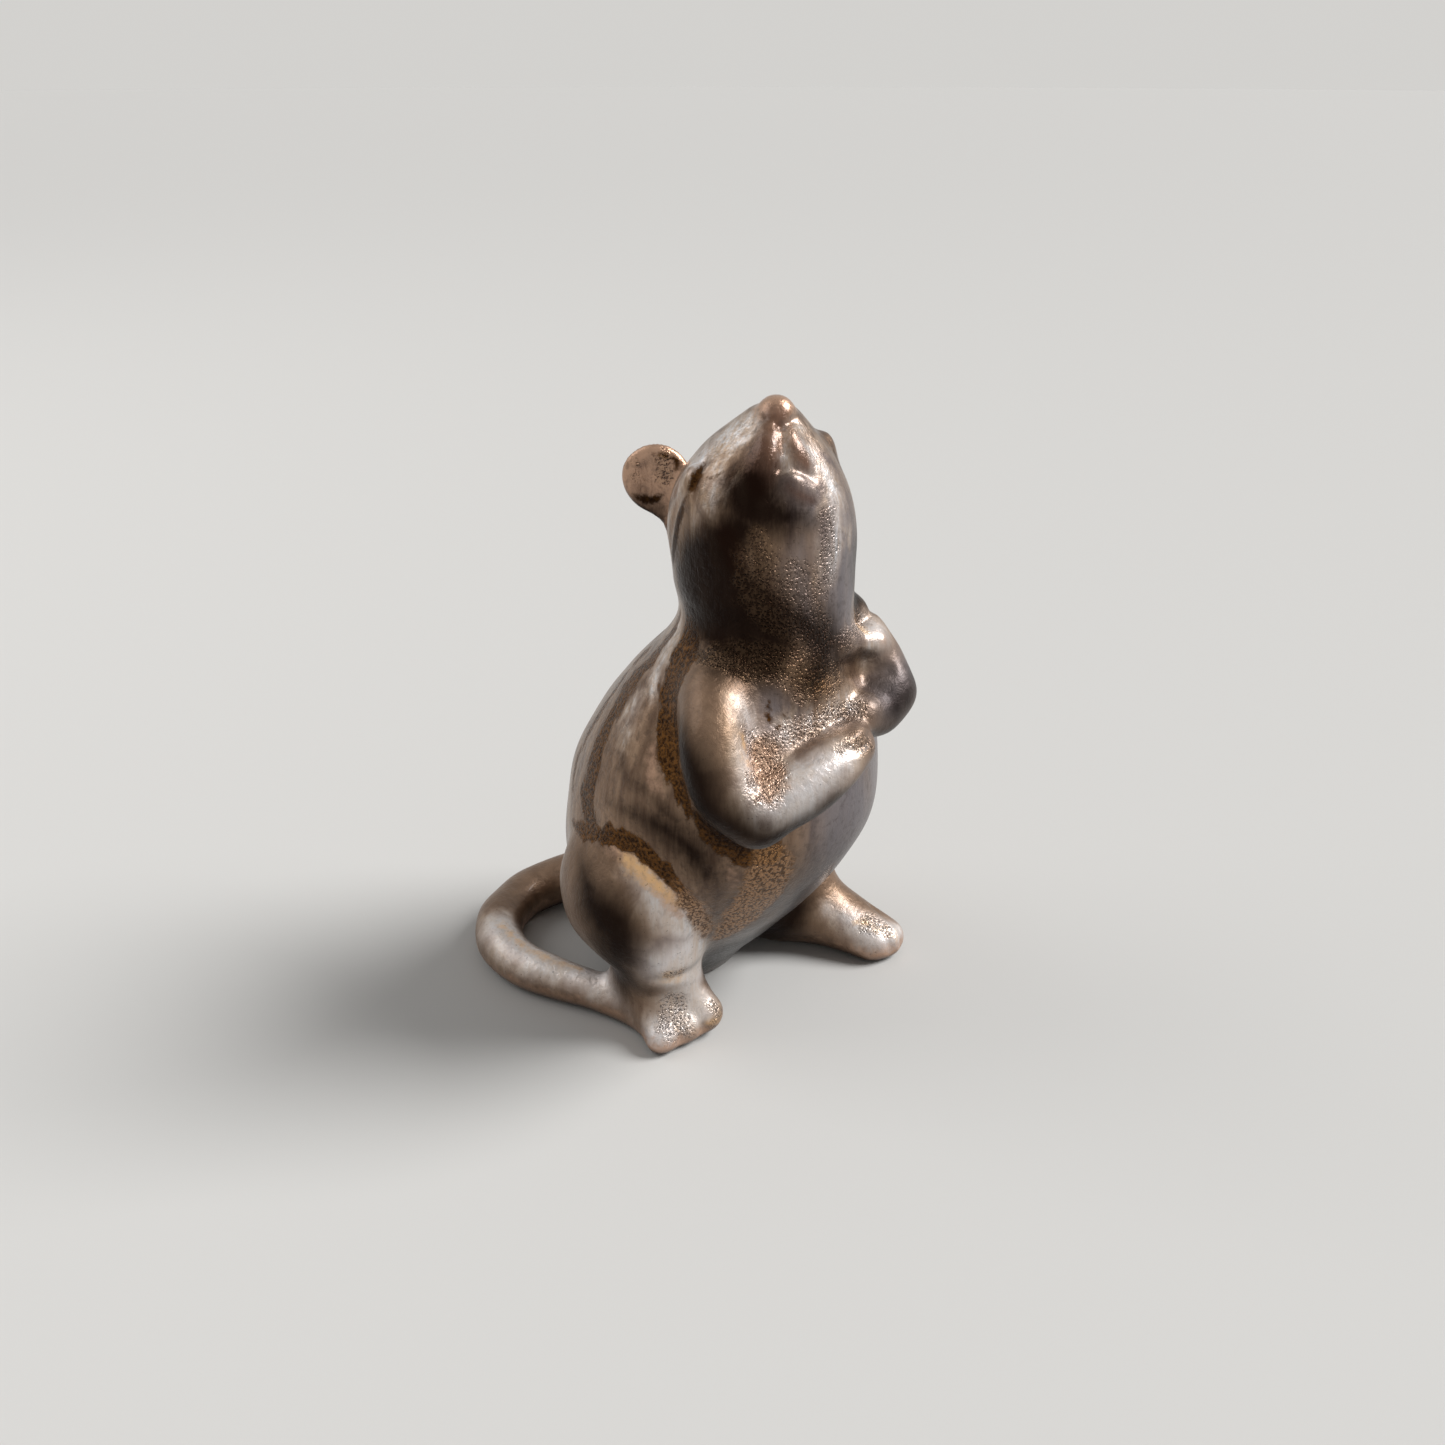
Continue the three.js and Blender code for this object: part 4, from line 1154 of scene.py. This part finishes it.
# %% Pooled glaze
RUN_SHAPE, SLIVER_SHAPE, SLIVER_SHARE = (1.0, 1.0, 0.5), (1.0, 1.0, 0.08), 0.4
WANDER_MIDDLE, GRAIN_MIDDLE = 0.7, 0.5
pooling, given, out = effect(
    "Pooled glaze",
    (("Place", "Vector"), ("Depth", "Float"), ("Wander", "Float"), ("Fray", "Float")),
    ("Pool", "Grain"),
)
where = given["Place"]
grain = ramp(pooling, cloud(pooling, where, scale=2.0, roughness=0.65), start=0.34, end=0.66)
slide = cloud(pooling, stretched(pooling, where, RUN_SHAPE), scale=0.4, detail=2.0, roughness=0.5)
sliver = cloud(pooling, stretched(pooling, where, SLIVER_SHAPE), scale=0.9, detail=0.0)
wander = calc(pooling, "SUBTRACT", weighed(pooling, (slide, 1.0), (sliver, SLIVER_SHARE)), WANDER_MIDDLE)
frayed = calc(pooling, "SUBTRACT", grain, GRAIN_MIDDLE)
edge = weighed(pooling, (given["Depth"], 1.0), (wander, given["Wander"]), (frayed, given["Fray"]))
feed(pooling, out["Pool"], ramp(pooling, edge, start=-0.3, end=0.4))
feed(pooling, out["Grain"], grain)

# %% Blister pits
RAGGED_MIDDLE, RAGGED_REACH, WOBBLE_SCALE, WOBBLE_REACH = 0.5, 4.0, 1.4, 0.8
blisters, given, out = effect(
    "Blister pits", (("Place", "Vector"), ("Depth", "Float"), ("Size", "Float")), ("Pit", "Web", "Patch")
)
where = given["Place"]
torn = cloud(blisters, where, scale=0.6, detail=4.0, roughness=0.6)
ragged = calc(blisters, "SUBTRACT", torn, RAGGED_MIDDLE)
patch = weighed(blisters, (given["Depth"], 1.0), (ragged, RAGGED_REACH))
patch = ramp(blisters, patch, start=-0.9, end=0.7)
wobble = blisters.nodes.new("ShaderNodeTexNoise")
feed(blisters, wobble.inputs["Vector"], where)
feed(blisters, wobble.inputs["Scale"], WOBBLE_SCALE)
wobbled = blisters.nodes.new("ShaderNodeVectorMath")
wobbled.operation = "MULTIPLY_ADD"
feed(blisters, wobbled.inputs[0], wobble.outputs["Color"])
feed(blisters, wobbled.inputs[1], (WOBBLE_REACH,) * 3)
feed(blisters, wobbled.inputs[2], where)
bubbles = blisters.nodes.new("ShaderNodeTexVoronoi")
feed(blisters, bubbles.inputs["Vector"], wobbled.outputs[0])
feed(blisters, bubbles.inputs["Scale"], given["Size"])
away = bubbles.outputs["Distance"]
feed(blisters, out["Pit"], calc(blisters, "MULTIPLY", ramp(blisters, away, start=0.46, end=0.16), patch))
feed(blisters, out["Web"], calc(blisters, "MULTIPLY", ramp(blisters, away, start=0.40, end=0.72), patch))
feed(blisters, out["Patch"], patch)

# %% Copper break
CREST_COVER = 0.4
breaking, given, out = effect(
    "Copper break", (("Place", "Vector"), ("Crest", "Float"), ("Depth", "Float")), ("Copper",)
)
torn = cloud(breaking, given["Place"], scale=0.7, detail=4.0, roughness=0.6)
ragged = calc(breaking, "SUBTRACT", torn, RAGGED_MIDDLE)
thin = ramp(breaking, calc(breaking, "ADD", given["Crest"], ragged), start=0.5, end=1.0)
bare = ramp(breaking, weighed(breaking, (given["Depth"], 1.0), (ragged, RAGGED_REACH)), start=-1.2, end=1.2)
feed(breaking, out["Copper"], calc(breaking, "MAXIMUM", calc(breaking, "MULTIPLY", thin, CREST_COVER), bare))

# %% [markdown]
# ## The glaze itself
#
# One recipe serves three finishes, which differ in how far the silver spreads and in how much clear gloss
# lies on top. The colours go on one over the other: streaked bronze first, then violet grey, silver with its
# painted highlight, copper, gold with its painted glints, the dark dips and specks, the brown runs and lines,
# painted shade on the faces that look down, and at last painted shade from the strokes, and the blisters.
# Roughness, metal and gloss are layered by the same masks, and one bump raises the peel, the webs and the
# runs and sinks the pits. Painted textures could do this too, but they blur close up, where masks that are
# cut from noise stay crisp.

# %% Colours
def tone(red, green, blue):
    """A colour given as it looks on a screen, 0 to 255, as Blender's linear colour."""
    shares = [value / 255 for value in (red, green, blue)]
    return (*[v / 12.92 if v <= 0.04045 else ((v + 0.055) / 1.055) ** 2.4 for v in shares], 1.0)


BRONZE_DARK, BRONZE_PALE = tone(88, 63, 45), tone(150, 122, 98)
VIOLET_GREY = tone(122, 118, 123)
# The palest silver is white, a painted highlight in the silver.
SILVER_PINK, SILVER_GOLD, HIGHLIGHT_WHITE = tone(214, 192, 178), tone(200, 166, 130), tone(240, 244, 250)
COPPER = tone(194, 156, 130)
# Gold of the glints on the crests, partly a painted highlight.
GLINT_GOLD = tone(238, 192, 134)
RUSSET = tone(98, 58, 34)
# Near-black colour of the painted shade.
SHADE_BLACK = tone(20, 10, 7)
PIT_DARK = tone(52, 38, 28)
TAN = tone(164, 122, 82)
RUN_BROWN, RUN_AMBER = tone(40, 22, 8), tone(106, 71, 35)
print("brown of the runs in linear light:", [round(share, 4) for share in RUN_BROWN[:3]])

# %% Masks
DOWNWARD_RUN = (1.0, 1.0, 0.14)
LINE_EDGE, POOL_EDGE = {"Wander": 0.7, "Fray": 0.3}, {"Wander": 2.6, "Fray": 0.35}
POOL_SWELL, PIT_SIZE, GRIT_SIZE = 0.2, 2.6, 2.3
LIMB_CALM, STREAK_REST, BRUSH_REST = 0.3, 0.55, 0.5
SILVER_BY_STREAK, SILVER_BY_MOTTLE, SILVER_BACK = 2.4, 1.6, -2.0
SHADE_BY_MOTTLE, SHADE_BY_BRUSH, SHADE_SPREAD, GRIT_GAPS_IN_SHADE = -0.6, -0.7, 0.4, 0.75
MASK_EDGES = {
    "streak": (0.22, 0.78), "brush": (0.30, 0.70), "mottle": (0.38, 0.62), "dip": (0.52, 0.30),
    "silver": (-3.0, 2.6), "painted_shade_and_gaps": (-4.0, 2.0), "dusk": (-5.0, 3.0), "russet": (-1.2, 0.8),
    "facing_up": (0.05, -0.75),
}


def glaze_masks(tree, silver_gain):
    """The masks of the glaze by name, from the shared effects and the numbers on the vertices."""
    def mark(name):
        stored = tree.nodes.new("ShaderNodeAttribute")
        stored.attribute_name = name
        return stored.outputs["Fac"]

    def cut(name, value):
        return ramp(tree, value, *MASK_EDGES[name])

    where = stretched(tree, tree.nodes.new("ShaderNodeTexCoord").outputs["Object"], (1 / MM,) * 3)
    flow = use(tree, streaks, Place=where, Run=DOWNWARD_RUN)
    lines = use(tree, pooling, Place=where, Depth=mark("line"), **LINE_EDGE)
    pool_depth = calc(tree, "ADD", mark("pool"), POOL_SWELL)
    pools = use(tree, pooling, Place=where, Depth=pool_depth, **POOL_EDGE)
    pits = use(tree, blisters, Place=where, Depth=mark("pits"), Size=PIT_SIZE)
    grit = use(tree, blisters, Place=where, Depth=mark("grit"), Size=GRIT_SIZE)
    copper = use(tree, breaking, Place=where, Crest=mark("crest"), Depth=mark("copper"))
    gold_glint = use(tree, breaking, Place=where, Crest=0.0, Depth=mark("gold_glint"))

    calm = blend_values(tree, mark("limb"), 1.0, LIMB_CALM)
    streak = blend_values(tree, calm, STREAK_REST, cut("streak", flow["Streak"]))
    brush = blend_values(tree, calm, BRUSH_REST, cut("brush", flow["Brush"]))
    mottle = cut("mottle", flow["Mottle"])
    # Silver, partly painted highlight, spread by the streaks and the mottle.
    silver = weighed(tree, (mark("silver"), 1.0), (streak, SILVER_BY_STREAK), (mottle, SILVER_BY_MOTTLE))
    silver = cut("silver", calc(tree, "ADD", silver, SILVER_BACK + silver_gain))
    # Painted shade from its strokes, broken by the mottle and the brush; the dark gaps of the grit join it.
    painted_shade_and_gaps = weighed(tree, (mark("painted_shade_and_gaps"), 1.0), (mottle, SHADE_BY_MOTTLE), (brush, SHADE_BY_BRUSH))
    painted_shade_and_gaps = cut("painted_shade_and_gaps", calc(tree, "ADD", painted_shade_and_gaps, SHADE_SPREAD))
    painted_shade_and_gaps = calc(tree, "MAXIMUM", painted_shade_and_gaps, calc(tree, "MULTIPLY", grit["Web"], GRIT_GAPS_IN_SHADE))
    dull = calc(tree, "MAXIMUM", painted_shade_and_gaps, lines["Pool"])
    return {
        "limb": mark("limb"), "streak": streak, "brush": brush, "mottle": mottle, "silver": silver,
        "dip": cut("dip", flow["Peel"]), "peel": flow["Peel"], "speck": flow["Speck"], "painted_shade_and_gaps": painted_shade_and_gaps,
        "dusk": cut("dusk", mark("dusk")), "russet": cut("russet", mark("russet")),
        # under is painted shade on the faces that look down.
        "under": cut("facing_up", mark("facing_up")), "copper": copper["Copper"], "gold_glint": gold_glint["Copper"],
        "pool": pools["Pool"], "pool_grain": pools["Grain"], "line": lines["Pool"],
        "line_grain": lines["Grain"], "pit": pits["Pit"], "web": pits["Web"], "patch": pits["Patch"],
        "gap": grit["Web"], "grit": grit["Patch"], "dull": dull,
        "bare": calc(tree, "MAXIMUM", dull, pools["Pool"]),
        "raised_grain": calc(tree, "MULTIPLY", pools["Grain"], pools["Pool"]),
    }


print("masks with a soft edge of their own:", ", ".join(MASK_EDGES))

# %% Colour
LINE_AMBER, SHEEN_SHARE = 0.4, 0.5
VEILED = {
    "dark_dip": ("dip", "limb", 0.35, 0.16),
    "warm_patch": ("patch", "painted_shade_and_gaps", 0.22, 0.04),
    "lit_web": ("web", "painted_shade_and_gaps", 0.17, 0.04),
    "dark_pit": ("pit", "painted_shade_and_gaps", 0.8, 0.2),
}


def glaze_colour(tree, masks):
    """The glaze colour, with painted shade and highlights among its layers, each a mask, a cover from 0 to 1
    and a colour.
    """
    sheen = weighed(tree, (masks["brush"], SHEEN_SHARE), (masks["streak"], SHEEN_SHARE))
    # The palest streaks of the silver are a painted highlight.
    pale = blend_colours(tree, masks["mottle"], SILVER_PINK, SILVER_GOLD)
    pale = blend_colours(tree, calc(tree, "MULTIPLY", sheen, masks["silver"]), pale, HIGHLIGHT_WHITE)
    pool_brown = blend_colours(tree, masks["pool_grain"], RUN_BROWN, RUN_AMBER)
    line_grain = calc(tree, "MULTIPLY", masks["line_grain"], LINE_AMBER)
    line_brown = blend_colours(tree, line_grain, RUN_BROWN, RUN_AMBER)
    web_tone = blend_colours(tree, masks["dusk"], SILVER_GOLD, VIOLET_GREY)
    shown = dict(masks)
    for name, (mask, veil, clear, covered) in VEILED.items():
        shown[name] = calc(tree, "MULTIPLY", masks[mask], blend_values(tree, masks[veil], clear, covered))
    layers = (
        ("dusk", 0.8, VIOLET_GREY), ("silver", 0.9, pale), ("copper", 0.85, COPPER), ("gold_glint", 0.8, GLINT_GOLD),
        ("dark_dip", 1.0, PIT_DARK), ("russet", 0.85, RUSSET), ("speck", 0.4, PIT_DARK),
        # Painted shade: first on the faces that look down, then from the shade strokes, with the dark gaps of
        # the grit.
        ("pool", 1.0, pool_brown), ("line", 1.0, line_brown), ("under", 0.8, SHADE_BLACK), ("grit", 0.75, TAN),
        ("painted_shade_and_gaps", 0.96, SHADE_BLACK), ("warm_patch", 1.0, RUN_AMBER), ("lit_web", 1.0, web_tone),
        ("dark_pit", 1.0, PIT_DARK),
    )
    colour = blend_colours(tree, masks["streak"], BRONZE_DARK, BRONZE_PALE)
    for name, cover, over in layers:
        colour = blend_colours(tree, calc(tree, "MULTIPLY", shown[name], cover), colour, over)
    return colour


print("masks that another mask veils:", ", ".join(VEILED))

# %% Roughness, metal, gloss and relief
BODY_ROUGHNESS, LIMB_ROUGHNESS = 0.28, 0.40
BODY_METALLIC, LIMB_METALLIC = 0.72, 0.55
ROUGHNESS_LAYERS = (
    ("brush", 0.5, 0.46), ("dusk", 0.7, 0.5), ("patch", 1.0, 0.26), ("russet", 1.0, 0.16),
    ("line", 1.0, 0.5), ("pool", 1.0, 0.32),
)
METALLIC_LAYERS = (("pit", 1.0, 0.8), ("russet", 1.0, 0.15), ("dull", 1.0, 1.0), ("pool", 1.0, 1.0))
GLOSS_LAYERS = (("silver", 1.0, 0.3), ("bare", 1.0, 0.04))
GLOSS_ROUGHNESS = 0.14
RELIEF = {
    "brush": 0.12, "peel": 0.96, "pit": -0.6, "web": 0.4, "gap": -0.9, "pool": 0.3, "raised_grain": 0.6,
}
RELIEF_HEIGHT = 0.16 * MM


def layered(tree, masks, value, layers):
    """A number with others laid over it: each layer has a mask, a cover from 0 to 1 and a number."""
    for name, cover, over in layers:
        value = blend_values(tree, calc(tree, "MULTIPLY", masks[name], cover), value, over)
    return value


def glaze_relief(tree, masks):
    """The normal of the glaze, bumped by the masks."""
    bump = tree.nodes.new("ShaderNodeBump")
    bump.inputs["Strength"].default_value = 1.0
    bump.inputs["Distance"].default_value = RELIEF_HEIGHT
    height = weighed(tree, *((masks[name], weight) for name, weight in RELIEF.items()))
    feed(tree, bump.inputs["Height"], height)
    return bump.outputs["Normal"]


print("height of the relief in mm:", round(RELIEF_HEIGHT / MM, 2))

# %% Three finishes
FINISHES = {
    "bronze_glaze": {"silver_gain": 0.0, "gloss": 0.25},
    "silver_glaze": {"silver_gain": 0.6, "gloss": 0.15},
    "copper_glaze": {"silver_gain": 0.0, "gloss": 0.4},
}


def lustre_glaze(name, silver_gain, gloss):
    """One finish of the glaze."""
    made = bpy.data.materials.new(name)
    made.use_nodes = True
    tree = made.node_tree
    shader = tree.nodes["Principled BSDF"].inputs
    masks = glaze_masks(tree, silver_gain)
    rough = blend_values(tree, masks["limb"], BODY_ROUGHNESS, LIMB_ROUGHNESS)
    metal = blend_values(tree, masks["limb"], BODY_METALLIC, LIMB_METALLIC)
    feed(tree, shader["Base Color"], glaze_colour(tree, masks))
    feed(tree, shader["Roughness"], layered(tree, masks, rough, ROUGHNESS_LAYERS))
    feed(tree, shader["Metallic"], layered(tree, masks, metal, METALLIC_LAYERS))
    feed(tree, shader["Coat Weight"], layered(tree, masks, gloss, GLOSS_LAYERS))
    feed(tree, shader["Coat Roughness"], GLOSS_ROUGHNESS)
    feed(tree, shader["Normal"], glaze_relief(tree, masks))
    return made


glazes = {name: lustre_glaze(name, **finish) for name, finish in FINISHES.items()}
for node, piece in pieces.items():
    piece.data.materials.append(glazes[slots[node]])
print("glazes:", ", ".join(glazes))

# %% [markdown]
# ## Studio
#
# The figure stands on a wide sheet of pale paper. One broad sun lamp, high at the camera's right, is the
# window, and a weak softbox stands high on the left, behind the rat. The world is pale for rays that are
# seen or mirrored and dim as light, so that the glaze mirrors a pale room and its shadows stay soft but
# clear. The camera stands where the photograph was taken: about 25 cm away, looking down at the figure.

# %% Floor
FLOOR_REACH, FLOOR_SIDES = 6.0, 96
PAPER_TONE, PAPER_ROUGHNESS = (0.66, 0.65, 0.63, 1), 0.8
turns = [step * math.tau / FLOOR_SIDES for step in range(FLOOR_SIDES)]
floor_points = [(FLOOR_REACH * math.cos(turn), FLOOR_REACH * math.sin(turn), 0) for turn in turns]
floor_mesh = bpy.data.meshes.new("floor")
floor_mesh.from_pydata(floor_points, [], [tuple(range(FLOOR_SIDES))])
floor = bpy.data.objects.new("floor", floor_mesh)
bpy.context.scene.collection.objects.link(floor)
paper = bpy.data.materials.new("pale_paper")
paper.use_nodes = True
paper_shader = paper.node_tree.nodes["Principled BSDF"]
paper_shader.inputs["Base Color"].default_value = PAPER_TONE
paper_shader.inputs["Roughness"].default_value = PAPER_ROUGHNESS
floor_mesh.materials.append(paper)
print("floor of radius", FLOOR_REACH, "m")

# %% Camera
CAMERA_PLACE = Vector((-0.1393, -0.1501, 0.1370))
CAMERA_LOOK = Vector((0.641, 0.641, -0.423))
SENSOR_WIDTH, LENS = 36.0, 36.0
camera_data = bpy.data.cameras.new("camera")
camera = bpy.data.objects.new("camera", camera_data)
bpy.context.scene.collection.objects.link(camera)
camera.location = CAMERA_PLACE
camera.rotation_euler = CAMERA_LOOK.to_track_quat("-Z", "Y").to_euler()
camera_data.sensor_fit = "HORIZONTAL"
camera_data.sensor_width = SENSOR_WIDTH
camera_data.lens = LENS
bpy.context.scene.camera = camera
print("camera's distance from the seat, in m:", round(CAMERA_PLACE.length, 3))

# %% World
DIM_ROOM, PALE_ROOM = (0.24, 0.24, 0.24, 1), (0.65, 0.64, 0.62, 1)
world = bpy.data.worlds.new("studio")
bpy.context.scene.world = world
world.use_nodes = True
room_tree = world.node_tree
ray = room_tree.nodes.new("ShaderNodeLightPath").outputs
seen = calc(room_tree, "MAXIMUM", ray["Is Camera Ray"], ray["Is Glossy Ray"])
seen = calc(room_tree, "MAXIMUM", seen, ray["Is Transmission Ray"])
room = blend_colours(room_tree, seen, DIM_ROOM, PALE_ROOM)
feed(room_tree, room_tree.nodes["Background"].inputs["Color"], room)
print("world made:", world.name)

# %% Lamps
WINDOW_HEADING, WINDOW_ENERGY, WINDOW_ANGLE = Vector((-0.58, 0.52, -0.71)), 3.3, math.radians(30)
FILL_PLACE, FILL_AIM, FILL_SIZE, FILL_POWER = Vector((-0.45, 0.55, 0.65)), Vector((0, 0, 0.05)), 0.6, 1.5


def hang(name, kind, energy, heading):
    """Adds a lamp that shines along a heading."""
    lamp = bpy.data.objects.new(name, bpy.data.lights.new(name, kind))
    lamp.data.energy = energy
    lamp.rotation_euler = heading.to_track_quat("-Z", "Y").to_euler()
    bpy.context.scene.collection.objects.link(lamp)
    return lamp


window_lamp = hang("window", "SUN", WINDOW_ENERGY, WINDOW_HEADING)
window_lamp.data.angle = WINDOW_ANGLE
fill_lamp = hang("back_fill", "AREA", FILL_POWER, FILL_AIM - FILL_PLACE)
fill_lamp.location = FILL_PLACE
fill_lamp.data.size = FILL_SIZE
bpy.context.scene.view_settings.view_transform = "Standard"
print("lamps hung:", window_lamp.name, "and", fill_lamp.name)
